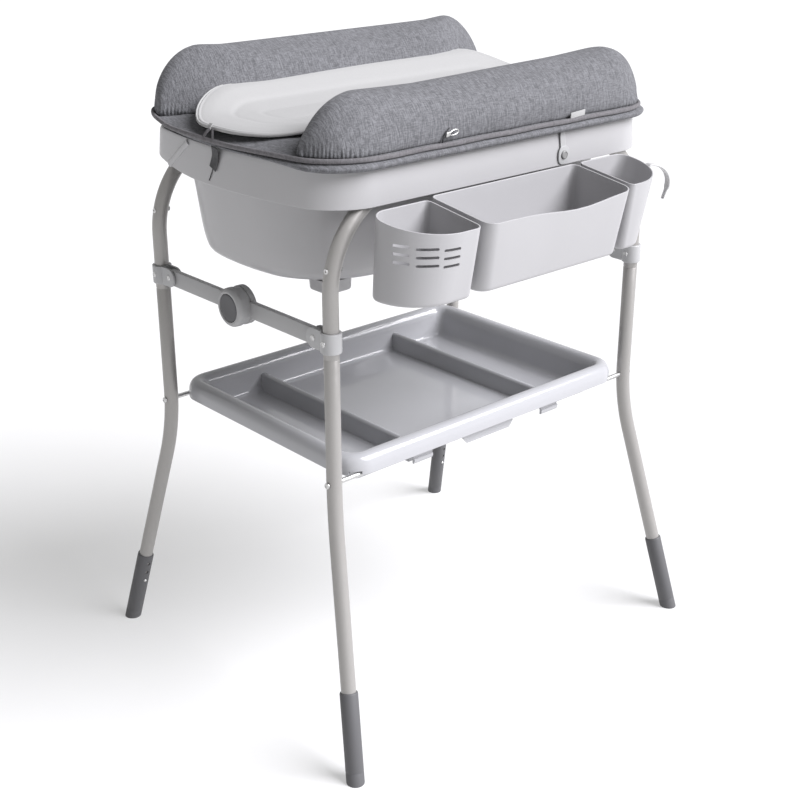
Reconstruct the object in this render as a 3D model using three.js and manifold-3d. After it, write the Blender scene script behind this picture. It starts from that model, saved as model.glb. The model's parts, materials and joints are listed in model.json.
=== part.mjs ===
// Fold-up changing table: tube frame, bath tub, padded mat, tray and clip-on containers.
// Units are millimetres. +X runs along the long side, +Y to the back, +Z up.
import * as THREE from 'three';
import { mergeVertices } from 'three/addons/utils/BufferGeometryUtils.js';
import Module from 'manifold-3d';

const wasm = await Module();
wasm.setup();

// ---- driving dimensions ----------------------------------------------------------------
const GAP = 0.3;                 // air left between pieces that rest on each other
const ORIGIN_Y = -13.5;          // middle of the whole depth, from the middle of the four feet

const TUBE_R = 12;               // frame tube radius
const LEG_X = 337;               // upright tubes from the middle, along X
const LEG_Y = 222;               // upright tubes from the middle, along Y
const FOOT_X = 390;              // where the tube axes would meet the floor
const FOOT_Y = 326;
const SPLAY_Z = 415;             // height where the legs bend outwards
const SPLAY_EASE = 55;           // length of the bend above and below that height
const BAR_Z = 905;               // axis of the top bars
const BEND_R = 150;              // bend between an upright and its top bar
const BRACKET_Z = 687;           // middle of the brace brackets
const BRACKET_H = 34;
const SEAM_Z = 684;              // where the hoop's end meets the leg, inside the bracket

const ROD_R = 4;                 // tray rods
const ROD_Z = 461;
const SLEEVE_R = 14.5;           // foot sleeves
const SLEEVE_LEN = 146;
const SLEEVE_BORE = 12.4;
const HOLE_PITCH = 19;           // height settings of the sleeves
const HOLE_FIRST = 16;           // first hole below the sleeve's rim
const SNAP_R = 3;

const ARM = 32;                  // brace pivot inboard of the upright
const BRACE_H = 26;              // brace bars: height and thickness
const BRACE_T = 6;
const HUB_R = 30;                // brace hub and its push-button
const HUB_DISC_R = 26;
const HUB_BUTTON_R = 21;
const HUB_PIN_R = 4;
const PIVOT_Y = LEG_Y - ARM;
const PIN_R = 3;                 // pivot pins and hoop bolts

const WALL = 3;                  // moulded walls
const SKIRT = { x: 368, y: 242, corner: 65, bow: 35, low: 882, top: 936, draft: 3 };
const BASIN = { x: 357, y: 197, corner: 130, bow: 30, floor: 742 };
const TRAY = { x: 314, y: 232, corner: 45, top: 492, lip: 461, floor: 434 };
const BOX_BACK = -243;           // back of the containers
const BOX_FRONT = -368;
const BOX_RIM = 876;
const BOX_RIM_DIP = 18;          // the rims are this much lower at the front
const BOX_FLOOR = 752;
const MAT_LOW = SKIRT.top + 0.5;
const MAT_TOP = 958;

// ---- materials -------------------------------------------------------------------------
const plain = (color, roughness, metalness = 0) =>
  new THREE.MeshStandardMaterial({ color, roughness, metalness });
const FRAME_PAINT = plain(0xc9c8c4, 0.35, 0.4);
const PALE_PLASTIC = plain(0xcfd0d4, 0.35);
const DARK_PLASTIC = plain(0x5a5b5d, 0.6);
const STEEL = plain(0xb4b4b2, 0.3, 0.9);
const GREY_FABRIC = plain(0x6c6e72, 0.95);
const WHITE_FABRIC = plain(0xe9e9ea, 1.0);

// ---- helpers ---------------------------------------------------------------------------
const assembly = new THREE.Group();
assembly.name = 'changing_table';
assembly.position.y = -ORIGIN_Y;

function put(name, geometry, material) {
  const mesh = new THREE.Mesh(geometry, material);
  mesh.name = name;
  assembly.add(mesh);
  return mesh;
}

function solid(geometry) {
  const bare = geometry.clone();
  bare.deleteAttribute('normal');
  bare.deleteAttribute('uv');
  const welded = mergeVertices(bare, 1e-4);
  return new wasm.Manifold(new wasm.Mesh({
    numProp: 3,
    vertProperties: new Float32Array(welded.attributes.position.array),
    triVerts: new Uint32Array(welded.index.array),
  }));
}

function shapeOf(manifold) {
  const mesh = manifold.getMesh();
  const geometry = new THREE.BufferGeometry();
  geometry.setAttribute('position', new THREE.BufferAttribute(mesh.vertProperties, 3));
  geometry.setIndex(new THREE.BufferAttribute(mesh.triVerts, 1));
  geometry.computeVertexNormals();
  return geometry;
}

const join = (...parts) => shapeOf(parts.map(solid).reduce((a, b) => a.add(b)));
const cut = (body, ...tools) => shapeOf(tools.map(solid).reduce((a, b) => a.subtract(b), solid(body)));

const along = {
  x: (geometry) => geometry.rotateZ(-Math.PI / 2),
  y: (geometry) => geometry,
  z: (geometry) => geometry.rotateX(Math.PI / 2),
};

function rod(axis, radius, length, centre, sides = 12) {
  const geometry = along[axis](new THREE.CylinderGeometry(radius, radius, length, sides));
  return geometry.translate(...centre);
}

function block(x, y, z) {
  const geometry = new THREE.BoxGeometry(x[1] - x[0], y[1] - y[0], z[1] - z[0]);
  return geometry.translate((x[0] + x[1]) / 2, (y[0] + y[1]) / 2, (z[0] + z[1]) / 2);
}

// A tube along a path.
function tube(path, radius, steps, sides = 12) {
  const round = new THREE.Shape().absarc(0, 0, radius, 0, 2 * Math.PI);
  return new THREE.ExtrudeGeometry(round, { steps, curveSegments: sides / 2, extrudePath: path });
}

// A shape drawn with its x along Y and its y along Z, extruded along X about a place.
function profileAlongX(shape, x, length, curveSegments = 6) {
  const piece = new THREE.ExtrudeGeometry(shape, { depth: length, curveSegments, bevelEnabled: false });
  return piece.rotateX(Math.PI / 2).rotateZ(Math.PI / 2).translate(x - length / 2, 0, 0);
}

// Rings of equally many points, joined in order; the first and last are closed over.
function loft(rings) {
  const count = rings[0].length;
  const points = rings.flat();
  const index = [];
  for (let r = 0; r + 1 < rings.length; r += 1) {
    for (let i = 0; i < count; i += 1) {
      const a = r * count + i;
      const b = r * count + ((i + 1) % count);
      index.push(a, b, b + count, a, b + count, a + count);
    }
  }
  for (const [ring, flip] of [[0, true], [rings.length - 1, false]]) {
    const middle = points.length;
    points.push(rings[ring].reduce((sum, p) => sum.add(p), new THREE.Vector3()).divideScalar(count));
    for (let i = 0; i < count; i += 1) {
      const a = ring * count + i;
      const b = ring * count + ((i + 1) % count);
      index.push(middle, ...(flip ? [b, a] : [a, b]));
    }
  }
  const geometry = new THREE.BufferGeometry().setFromPoints(points);
  geometry.setIndex(index);
  geometry.computeVertexNormals();
  return geometry;
}

// A level rounded rectangle, counter-clockwise from above, whose short sides bow outwards.
function ring(halfX, halfY, corner, z, bow = 0, cornerSteps = 5, sideSteps = 3) {
  const points = [];
  const r = Math.min(corner, halfX, halfY);
  for (const [sx, sy, start] of [[1, 1, 0], [-1, 1, 90], [-1, -1, 180], [1, -1, 270]]) {
    for (let i = 0; i <= cornerSteps; i += 1) {
      const t = THREE.MathUtils.degToRad(start + (90 * i) / cornerSteps);
      points.push([sx * (halfX - r) + r * Math.cos(t), sy * (halfY - r) + r * Math.sin(t)]);
    }
    if (sx * sy < 0) {   // a bowed short side follows this corner
      for (let i = 1; i < sideSteps; i += 1) {
        points.push([sx * halfX, sy * (halfY - r) * (1 - (2 * i) / sideSteps)]);
      }
    }
  }
  return points.map(([x, y]) => new THREE.Vector3(x - Math.sign(x) * bow * (y / halfY) ** 2, y, z));
}

const SIDES = { left: -1, right: 1 };
const ENDS = { front: -1, back: 1 };

// ---- frame -----------------------------------------------------------------------------
class LegPath extends THREE.CurvePath {
  constructor(sx, sy) {
    super();
    const top = new THREE.Vector3(sx * LEG_X, sy * LEG_Y, SEAM_Z);
    const knee = new THREE.Vector3(sx * LEG_X, sy * LEG_Y, SPLAY_Z);
    const down = legAxis(sx, sy);
    const start = knee.clone().setZ(SPLAY_Z + SPLAY_EASE);
    const finish = knee.clone().addScaledVector(down, SPLAY_EASE);
    const foot = new THREE.Vector3(sx * FOOT_X, sy * FOOT_Y, 0);
    this.add(new THREE.LineCurve3(top, start));
    this.add(new THREE.QuadraticBezierCurve3(start, knee, finish));
    this.add(new THREE.LineCurve3(finish, foot.addScaledVector(down, -26)));
  }
}

// Unit vector down the splayed part of a leg.
function legAxis(sx, sy) {
  return new THREE.Vector3(sx * (FOOT_X - LEG_X), sy * (FOOT_Y - LEG_Y), -SPLAY_Z).normalize();
}

class HoopPath extends THREE.CurvePath {
  constructor(sy) {
    super();
    const bend = BEND_R * 0.5523;   // handle length of a quarter circle
    const end = (sx) => new THREE.Vector3(sx * LEG_X, sy * LEG_Y, SEAM_Z + GAP);
    const spring = (sx) => end(sx).setZ(BAR_Z - BEND_R);
    const bar = (sx) => new THREE.Vector3(sx * (LEG_X - BEND_R), sy * LEG_Y, BAR_Z);
    const arc = (from, to, rise, run) => new THREE.CubicBezierCurve3(
      from, from.clone().add(rise), to.clone().add(run), to);
    const up = new THREE.Vector3(0, 0, bend);
    const out = new THREE.Vector3(-bend, 0, 0);
    this.add(new THREE.LineCurve3(end(-1), spring(-1)));
    this.add(arc(spring(-1), bar(-1), up, out));
    this.add(new THREE.LineCurve3(bar(-1), bar(1)));
    this.add(arc(bar(1), spring(1), out.clone().negate(), up));
    this.add(new THREE.LineCurve3(spring(1), end(1)));
  }
}

// Places a geometry made around +Z onto a leg's splayed axis, with its +X side facing inwards.
function ontoLeg(geometry, sx, sy, z) {
  const up = legAxis(sx, sy).negate();
  const side = new THREE.Vector3(0, -sy, 0).cross(up).negate().normalize();
  const face = new THREE.Vector3().crossVectors(side, up);
  const base = new THREE.Vector3(sx * FOOT_X, sy * FOOT_Y, 0).addScaledVector(up, z / up.z);
  return geometry.applyMatrix4(new THREE.Matrix4().makeBasis(face, side, up).setPosition(base));
}

function leg(sx, sy) {
  const pipe = tube(new LegPath(sx, sy), TUBE_R, 22, 10);
  const rodHole = rod('x', ROD_R + GAP, 4 * TUBE_R, [sx * LEG_X, sy * LEG_Y, ROD_Z], 10);
  const travel = 2 * HOLE_PITCH;
  const grooveTop = SLEEVE_LEN - HOLE_FIRST - 2 * HOLE_PITCH + SNAP_R + 1;
  const grooveLow = grooveTop - travel - 2 * SNAP_R - 2;
  const groove = block([TUBE_R - 4, TUBE_R + 4], [-SNAP_R - 1, SNAP_R + 1], [grooveLow, grooveTop]);
  return cut(pipe, rodHole, ontoLeg(groove, sx, sy, 0));
}

function sleeve(sx, sy) {
  const profile = [[0, -6], [SLEEVE_R, -6], [SLEEVE_R, SLEEVE_LEN - 1.5], [SLEEVE_R - 1, SLEEVE_LEN],
    [SLEEVE_BORE, SLEEVE_LEN], [SLEEVE_BORE, 18], [0, 18]].map(([r, z]) => new THREE.Vector2(r, z));
  const shell = along.z(new THREE.LatheGeometry(profile, 16));
  const holes = [0, 1, 2].map((k) => rod('x', SNAP_R + 0.5, 12,
    [SLEEVE_R, 0, SLEEVE_LEN - HOLE_FIRST - k * HOLE_PITCH], 10));
  const standing = ontoLeg(cut(shell, ...holes), sx, sy, 0);
  const floor = block([sx * FOOT_X - 40, sx * FOOT_X + 40], [sy * FOOT_Y - 40, sy * FOOT_Y + 40], [-30, 0]);
  return cut(standing, floor);
}

// The spring button in a sleeve's lowest hole, with room behind it to be pressed.
function snapButton(sx, sy) {
  const z = SLEEVE_LEN - HOLE_FIRST - 2 * HOLE_PITCH;
  const profile = [[0, 0], [SNAP_R + 0.2, 0], [SNAP_R + 0.2, 1], [SNAP_R, 4], [2, 5.4], [0, 5.8]]
    .map(([r, h]) => new THREE.Vector2(r, h));
  const button = along.x(new THREE.LatheGeometry(profile, 10)).translate(TUBE_R - 1, 0, z);
  return ontoLeg(button, sx, sy, 0);
}

function bracket(sx, sy) {
  const collar = new THREE.Shape().absarc(0, 0, TUBE_R + 4, 0, 2 * Math.PI);
  collar.holes.push(new THREE.Path().absarc(0, 0, TUBE_R + GAP, 0, 2 * Math.PI, true));
  const ringPart = new THREE.ExtrudeGeometry(collar, {
    depth: BRACKET_H, curveSegments: 7, bevelEnabled: false }).translate(0, 0, -BRACKET_H / 2);
  const cheekIn = BRACE_T / 2 + 0.4;
  const cheeks = [-1, 1].map((side) => {
    const plate = new THREE.Shape();
    const half = BRACE_H / 2;
    plate.moveTo(-TUBE_R - 2, -half).lineTo(-ARM, -half);
    plate.absarc(-ARM, 0, half, -Math.PI / 2, Math.PI / 2, true).lineTo(-TUBE_R - 2, half);
    return profileAlongX(plate, side * (cheekIn + WALL / 2), WALL);
  });
  const pin = rod('x', PIN_R + GAP, 40, [0, -ARM, 0], 10);
  const piece = cut(join(ringPart, ...cheeks), pin);
  if (sy < 0) piece.rotateZ(Math.PI);
  return piece.translate(sx * LEG_X, sy * LEG_Y, BRACKET_Z);
}

// A round-headed pin along X: shank, and a head at each end that stays proud of the part it holds.
function pinAlongX(shankR, headR, inner, headT, centre) {
  const half = inner / 2 + GAP;
  const outline = [[0, -half - headT], [headR * 0.6, -half - headT], [headR, -half - headT * 0.3],
    [headR, -half], [shankR, -half], [shankR, half], [headR, half], [headR, half + headT * 0.3],
    [headR * 0.6, half + headT], [0, half + headT]].map(([r, z]) => new THREE.Vector2(r, z));
  return along.x(new THREE.LatheGeometry(outline, 10)).translate(...centre);
}

function screwHead(sx, sy) {
  const outline = [[0, 0], [5, 0], [4.6, 1.4], [2.4, 2.6], [0, 2.8]].map(([r, z]) => new THREE.Vector2(r, z));
  const head = along.x(new THREE.LatheGeometry(outline, 10));
  if (sx < 0) head.rotateZ(Math.PI);
  return head.translate(sx * (LEG_X + TUBE_R + 1 + GAP), sy * LEG_Y, ROD_Z);
}

function hoop(sy) {
  const pipe = tube(new HoopPath(sy), TUBE_R, 34, 10);
  const holes = [-1, 1].map((sx) => rod('x', PIN_R + GAP, 5 * TUBE_R, hoopBoltPlace(sx, sy), 8));
  return cut(pipe, ...holes);
}

// The bolts sit a little way up the bend.
const HOOP_BOLT_ANGLE = THREE.MathUtils.degToRad(15);
function hoopBoltPlace(sx, sy) {
  const x = LEG_X - BEND_R * (1 - Math.cos(HOOP_BOLT_ANGLE));
  return [sx * x, sy * LEG_Y, BAR_Z - BEND_R + BEND_R * Math.sin(HOOP_BOLT_ANGLE)];
}

function buildFrame() {
  for (const [end, sy] of Object.entries(ENDS)) {
    put(`${end}_hoop`, hoop(sy), FRAME_PAINT);
    put(`${end}_tray_rod`, rod('x', ROD_R, 2 * (LEG_X + TUBE_R + 1), [0, sy * LEG_Y, ROD_Z], 10), STEEL);
    for (const [side, sx] of Object.entries(SIDES)) {
      put(`${end}_${side}_leg`, leg(sx, sy), FRAME_PAINT);
      put(`${end}_${side}_bracket`, bracket(sx, sy), PALE_PLASTIC);
      put(`${end}_${side}_rod_screw`, screwHead(sx, sy), STEEL);
      put(`${end}_${side}_hoop_bolt`, pinAlongX(PIN_R, 5, 2 * TUBE_R + 4, 3, hoopBoltPlace(sx, sy)), STEEL);
      put(`${end}_${side}_sleeve`, sleeve(sx, sy), DARK_PLASTIC);
      put(`${end}_${side}_snap_button`, snapButton(sx, sy), STEEL);
      put(`${end}_${side}_pivot_pin`,
        pinAlongX(PIN_R, 5.5, BRACE_T + 6.8, 2.2, [sx * LEG_X, sy * PIVOT_Y, BRACKET_Z]), STEEL);
    }
  }
}

// ---- folding braces --------------------------------------------------------------------
// One half of a brace, from its bracket pivot to the hub. The back half carries the inner
// hub disc and the front half the outer one, so they can turn on the hub's pin.
function braceBar(sx, sy) {
  const outward = sy < 0;
  const body = new THREE.Shape();
  body.moveTo(HUB_DISC_R + 1, -BRACE_H / 2).lineTo(PIVOT_Y, -BRACE_H / 2);
  body.absarc(PIVOT_Y, 0, BRACE_H / 2, -Math.PI / 2, Math.PI / 2);
  body.lineTo(HUB_DISC_R + 1, BRACE_H / 2);
  const flat = { curveSegments: 6, bevelEnabled: false };
  const bar = new THREE.ExtrudeGeometry(body, { ...flat, depth: BRACE_T }).translate(0, 0, -BRACE_T / 2);
  const disc = new THREE.CylinderGeometry(HUB_DISC_R, HUB_DISC_R, 5, 24).rotateX(Math.PI / 2);
  const neck = block([10, HUB_DISC_R + 12], [-BRACE_H / 2, BRACE_H / 2], [-2.5, 2.5]);
  const level = outward ? -2.8 : 2.8;
  disc.translate(0, 0, level);
  neck.translate(0, 0, level);
  const holes = [[0, HUB_PIN_R + GAP], [PIVOT_Y, PIN_R + GAP]].map(([x, r]) =>
    new THREE.CylinderGeometry(r, r, 30, 12).rotateX(Math.PI / 2).translate(x, 0, 0));
  const piece = cut(join(bar, disc, neck), ...holes);
  piece.rotateX(Math.PI / 2).rotateZ(Math.PI / 2);   // length along +Y, thickness along X
  if (sy < 0) piece.rotateX(Math.PI);
  return mirrorX(piece, sx).translate(sx * LEG_X, 0, BRACKET_Z);
}

// Mirrors across X = 0 when the side is the right-hand one, and keeps the faces pointing out.
function mirrorX(geometry, sx) {
  if (sx < 0) return geometry;
  geometry.scale(-1, 1, 1);
  const index = geometry.index.array;
  for (let i = 0; i < index.length; i += 3) [index[i], index[i + 1]] = [index[i + 1], index[i]];
  geometry.computeVertexNormals();
  return geometry;
}

const HUB_FLOOR = 5.6;           // outer face of the outer hub disc, from the brace's middle
const BUTTON_GAP = 6.5;          // room behind the push-button

function hubHousing(sx) {
  const start = HUB_FLOOR + GAP;
  const outline = [[4.4, start], [HUB_R, start], [HUB_R, start + 11], [HUB_R - 3, start + 14],
    [HUB_BUTTON_R + 0.6, start + 14], [HUB_BUTTON_R + 0.6, start + 2.5], [4.4, start + 2.5], [4.4, start]];
  return outwards(outline, 24, sx);
}

function hubButton(sx) {
  const start = HUB_FLOOR + GAP + 2.5 + BUTTON_GAP;
  const outline = [[0, start], [HUB_BUTTON_R, start], [HUB_BUTTON_R, start + 5.5],
    [HUB_BUTTON_R - 2.5, start + 7.5], [0, start + 8.1]];
  return outwards(outline, 24, sx);
}

function hubPin(sx) {
  const outline = [[0, -9.6], [5, -9.4], [7, -7.4], [7, -5.9], [HUB_PIN_R, -5.9],
    [HUB_PIN_R, HUB_FLOOR + 3.1], [6, HUB_FLOOR + 3.1], [6, HUB_FLOOR + 4.2], [0, HUB_FLOOR + 4.5]];
  return outwards(outline, 12, sx);
}

// Turns a profile of [radius, distance outwards] into a piece around a hub's axis.
function outwards(outline, sides, sx) {
  const profile = outline.map(([r, z]) => new THREE.Vector2(r, z));
  const piece = new THREE.LatheGeometry(profile, sides).rotateZ((-sx * Math.PI) / 2);
  return piece.translate(sx * LEG_X, 0, BRACKET_Z);
}

function buildBraces() {
  for (const [side, sx] of Object.entries(SIDES)) {
    put(`${side}_rear_brace`, braceBar(sx, 1), PALE_PLASTIC);
    put(`${side}_front_brace`, braceBar(sx, -1), PALE_PLASTIC);
    put(`${side}_hub_housing`, hubHousing(sx), PALE_PLASTIC);
    put(`${side}_hub_button`, hubButton(sx), DARK_PLASTIC);
    put(`${side}_hub_pin`, hubPin(sx), STEEL);
  }
}

// ---- tub -------------------------------------------------------------------------------
const NOTCH_X = [212, 312];      // where the back bar's bends pass as the tub tilts
const DRAIN = { x: 235, r: 13, flange: 17 };
const PAD = { x: 250, y: 115, halfX: 26, halfY: 24, low: 724 };

function tub() {
  const s = SKIRT;
  const b = BASIN;
  const skirt = (inset, z) => {
    const lean = (s.draft * (z - s.low)) / (s.top - s.low);
    return ring(s.x - inset - lean, s.y - inset - lean, s.corner - inset, z, s.bow);
  };
  const basin = (inset, z) => ring(b.x - inset, b.y - inset, b.corner - inset, z, b.bow);
  const shell = loft([
    basin(47, b.floor), basin(28, b.floor + 6), basin(16, b.floor + 33), basin(2, s.low),
    basin(0, s.top - WALL), skirt(WALL, s.top - WALL), skirt(WALL, s.low), skirt(0.8, s.low),
    skirt(0, s.low + 3), skirt(0, s.top - 5), skirt(4, s.top), basin(-3, s.top), basin(WALL, s.top - 9),
    basin(16 + WALL, b.floor + 33), basin(28 + WALL, b.floor + 6 + WALL), basin(47 + WALL, b.floor + WALL),
  ]);
  const pads = [-1, 1].flatMap((sx) => [-1, 1].map((sy) => {
    const foot = loft([PAD.low, b.floor + 1].map((z) => ring(PAD.halfX, PAD.halfY, 8, z, 0, 2, 1)));
    return foot.translate(sx * PAD.x, sy * PAD.y, 0);
  }));
  const notches = [-1, 1].map((sx) => block(NOTCH_X.map((x) => sx * x).sort((p, q) => p - q),
    [b.y + 8, s.y + 10], [s.low - 10, BAR_Z + TUBE_R + 3]));
  const drain = rod('z', DRAIN.r, 30, [DRAIN.x, 0, b.floor], 16);
  return cut(join(shell, ...pads), ...notches, drain);
}

function drainPlug() {
  const floor = BASIN.floor;
  const outline = [[0, floor - 1], [DRAIN.r - 0.8, floor - 1], [DRAIN.r - 0.8, floor + WALL + GAP],
    [DRAIN.flange, floor + WALL + GAP], [DRAIN.flange, floor + WALL + 3], [5, floor + WALL + 4.5],
    [5, floor + WALL + 10], [0, floor + WALL + 11]].map(([r, z]) => new THREE.Vector2(r, z));
  return along.z(new THREE.LatheGeometry(outline, 16)).translate(DRAIN.x, 0, 0);
}

// A saddle on a top bar, with a stem up to the underside of the tub's flange. The back ones
// clip round the bar, the front ones only rest on it.
const SADDLE_X = 110;
const SADDLE_LEN = 40;
function barSaddle(x, sy) {
  const inner = TUBE_R + 0.4;
  const outer = inner + 2.6;
  const sweep = sy > 0 ? THREE.MathUtils.degToRad(115) : Math.PI / 2;
  const arch = new THREE.Shape();
  arch.absarc(0, 0, outer, Math.PI / 2 - sweep, Math.PI / 2 + sweep);
  arch.absarc(0, 0, inner, Math.PI / 2 + sweep, Math.PI / 2 - sweep, true);
  const saddle = profileAlongX(arch, 0, SADDLE_LEN, 8);
  const stem = block([-SADDLE_LEN / 2 + 2, SADDLE_LEN / 2 - 2], [-6, 6],
    [inner + 1, SKIRT.top - WALL - GAP - BAR_Z]);
  return join(saddle, stem).translate(x, sy * LEG_Y, BAR_Z);
}

function buildTub() {
  put('tub', tub(), PALE_PLASTIC);
  put('drain_plug', drainPlug(), DARK_PLASTIC);
  for (const [end, sy] of Object.entries(ENDS)) {
    for (const [side, sx] of Object.entries(SIDES)) {
      put(`${end}_${side}_bar_saddle`, barSaddle(sx * SADDLE_X, sy), PALE_PLASTIC);
    }
  }
}

// ---- tray ------------------------------------------------------------------------------
const DIVIDER_X = 157;
const DIVIDER_TOP = TRAY.top - 24;

function tray() {
  const t = TRAY;
  const at = (inset, z) => ring(t.x - inset, t.y - inset, Math.max(t.corner - inset, 14), z, 0, 4, 1);
  const well = 21;   // the basin's outer wall, in from the lip
  const shell = loft([
    at(well + 14, t.floor), at(well + 6, t.floor + 4), at(well, t.top - 8), at(well - 3, t.top - 3),
    at(4, t.top - 4), at(WALL - 0.4, t.top - 9), at(WALL - 0.4, t.lip), at(0, t.lip), at(0, t.top - 8),
    at(3, t.top - 2), at(9, t.top), at(19, t.top - 1), at(well + WALL, t.top - 8),
    at(well + 6 + WALL, t.floor + 4 + WALL), at(well + 14 + WALL, t.floor + WALL),
  ]);
  const reach = t.y - well - WALL;
  const dividers = [-1, 1].map((sx) => {
    const ridge = new THREE.Shape();
    ridge.moveTo(-7, t.floor + 1).lineTo(7, t.floor + 1).lineTo(4, DIVIDER_TOP - 3);
    ridge.absarc(0, DIVIDER_TOP - 4, 4, 0, Math.PI).lineTo(-7, t.floor + 1);
    const bar = new THREE.ExtrudeGeometry(ridge, { depth: 2 * reach, curveSegments: 4, bevelEnabled: false });
    return bar.rotateX(Math.PI / 2).translate(sx * DIVIDER_X, reach, 0);
  });
  const rodSlots = [-1, 1].map((sy) => block([-t.x - 5, t.x + 5],
    [sy * LEG_Y - ROD_R - 2.5, sy * LEG_Y + ROD_R + 2.5], [t.lip - 5, ROD_Z + ROD_R + 2.5]));
  return cut(join(shell, ...dividers), ...rodSlots);
}

// The catches hang against the outside of the basin's front wall, just behind the front rod.
const CATCH_Y = [-LEG_Y + 7.8, -LEG_Y + 10.6];

function trayClip(x) {
  const [near, far] = CATCH_Y;
  const hook = new THREE.Shape();
  hook.moveTo(far, TRAY.top - 14).lineTo(near, TRAY.top - 14).lineTo(near, ROD_Z - 14);
  hook.lineTo(near - 2.4, ROD_Z - 16).lineTo(near - 2.4, ROD_Z - 20).lineTo(near, ROD_Z - 24);
  hook.lineTo(far, ROD_Z - 24);
  return profileAlongX(hook, x, 40);
}

// The finger tab that lifts the tray: a plate whose lower corners are cut off.
function trayPull() {
  const [near, far] = CATCH_Y;
  const top = TRAY.top - 12;
  const plate = new THREE.Shape();
  plate.moveTo(-58, top).lineTo(-58, ROD_Z - 14).lineTo(-49, ROD_Z - 24).lineTo(49, ROD_Z - 24);
  plate.lineTo(58, ROD_Z - 14).lineTo(58, top);
  const tab = new THREE.ExtrudeGeometry(plate, { depth: far - near, bevelEnabled: false });
  return tab.rotateX(Math.PI / 2).translate(0, far, 0);
}

function buildTray() {
  put('tray', tray(), PALE_PLASTIC);
  put('tray_left_clip', trayClip(-148), PALE_PLASTIC);
  put('tray_right_clip', trayClip(148), PALE_PLASTIC);
  put('tray_pull', trayPull(), PALE_PLASTIC);
}

// ---- containers ------------------------------------------------------------------------
const BOX_DEPTH = BOX_BACK - BOX_FRONT;
const POT_WALL = 2.5;

// A drafted pot: outline(u) gives its plan, inset by u; the floor is pulled in by the draft.
function pot(outline, floorOutline) {
  const rim = (points, drop) => points.map(([x, y]) => {
    const forward = (BOX_BACK - y) / BOX_DEPTH;
    return new THREE.Vector3(x, y, BOX_RIM - BOX_RIM_DIP * forward - drop);
  });
  const level = (points, z) => points.map(([x, y]) => new THREE.Vector3(x, y, z));
  return loft([
    level(floorOutline(5), BOX_FLOOR), level(floorOutline(0), BOX_FLOOR + 5), rim(outline(0.6), 1),
    rim(outline(0), 0.6), rim(outline(0.6), 0), rim(outline(POT_WALL), 0),
    level(floorOutline(POT_WALL), BOX_FLOOR + 5 + POT_WALL),
    level(floorOutline(5 + POT_WALL), BOX_FLOOR + POT_WALL),
  ]);
}

// Plan of a rounded box; each corner has its own radius, in the order back right, back left,
// front left, front right.
function roundedPlan(x, y, radii, steps = 4) {
  const corners = [[x[1], y[1], 0], [x[0], y[1], 90], [x[0], y[0], 180], [x[1], y[0], 270]];
  return (inset) => corners.flatMap(([cx, cy, start], k) => {
    const r = Math.max(radii[k] - inset, 1);
    const sx = k === 0 || k === 3 ? 1 : -1;
    const sy = k < 2 ? 1 : -1;
    return Array.from({ length: steps + 1 }, (_, i) => {
      const t = THREE.MathUtils.degToRad(start + (90 * i) / steps);
      return [cx - sx * (inset + r) + r * Math.cos(t), cy - sy * (inset + r) + r * Math.sin(t)];
    });
  });
}

const CUP = { x: [-295, -177], y: [BOX_FRONT, BOX_BACK - 9], radii: [10, 34, 80, 14] };
const BOX = { x: [-166, 149] };
const END_CUP = { x: [158, 266], y: BOX_FRONT + 12, r: 88 };
const HOOK = { width: 15, top: 868, turn: -21 };  // set on the end cup's round corner

function slottedCup() {
  const rim = roundedPlan(CUP.x, CUP.y, CUP.radii, 6);
  const base = roundedPlan([CUP.x[0] - 4, CUP.x[1] - 4], [CUP.y[0] + 16, CUP.y[1]], [10, 28, 70, 14], 6);
  const round = CUP.radii[2];
  const centre = [CUP.x[0] + round, CUP.y[0] + round];
  const slots = [202, 229.5, 257].flatMap((degrees) => [0, 1, 2].map((row) => {
    const slot = block([55, 115], [-14, 14], [-2.2, 2.2]);
    return slot.rotateZ(THREE.MathUtils.degToRad(degrees)).translate(...centre, 838 - 12 * row);
  }));
  return cut(pot(rim, base), ...slots);
}

function towelHook() {
  const root = END_CUP.r + GAP + 0.4;
  const { top, width } = HOOK;
  const out = new THREE.Shape();
  out.moveTo(root, top - 10).lineTo(root, top - 1).lineTo(root + 6, top);
  out.absellipse(root + 6, top - 34, 38, 34, Math.PI / 2, -0.35, true);
  out.lineTo(root + 35.5, top - 62).lineTo(root + 33, top - 61);
  out.absellipse(root + 6, top - 34, 34.5, 30.5, -0.35, Math.PI / 2);
  out.lineTo(root + 3, top - 4.5).lineTo(root + 3, top - 10);
  const strip = new THREE.ExtrudeGeometry(out, { depth: width, curveSegments: 8, bevelEnabled: false });
  strip.rotateX(Math.PI / 2).translate(0, width / 2, 0).rotateZ(THREE.MathUtils.degToRad(HOOK.turn));
  return strip.translate(END_CUP.x[1] - END_CUP.r, END_CUP.y + END_CUP.r, 0);
}

function buildContainers() {
  put('slotted_cup', slottedCup(), PALE_PLASTIC);
  const boxRim = roundedPlan(BOX.x, [BOX_FRONT, BOX_BACK], [12, 12, 20, 22]);
  const boxBase = roundedPlan([BOX.x[0] + 4, BOX.x[1] - 8], [BOX_FRONT + 18, BOX_BACK], [12, 12, 20, 22]);
  put('storage_box', pot(boxRim, boxBase), PALE_PLASTIC);
  const endRim = roundedPlan(END_CUP.x, [END_CUP.y, BOX_BACK], [20, 12, 10, END_CUP.r], 6);
  const endBase = roundedPlan([END_CUP.x[0], END_CUP.x[1] - 44], [END_CUP.y + 14, BOX_BACK],
    [18, 12, 10, 44], 6);
  put('end_cup', pot(endRim, endBase), PALE_PLASTIC);
  put('towel_hook', towelHook(), PALE_PLASTIC);
}

// ---- soft goods ------------------------------------------------------------------------
const BOLSTER = { reach: 366, taper: 96, inner: 112, outer: 238 };

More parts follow.
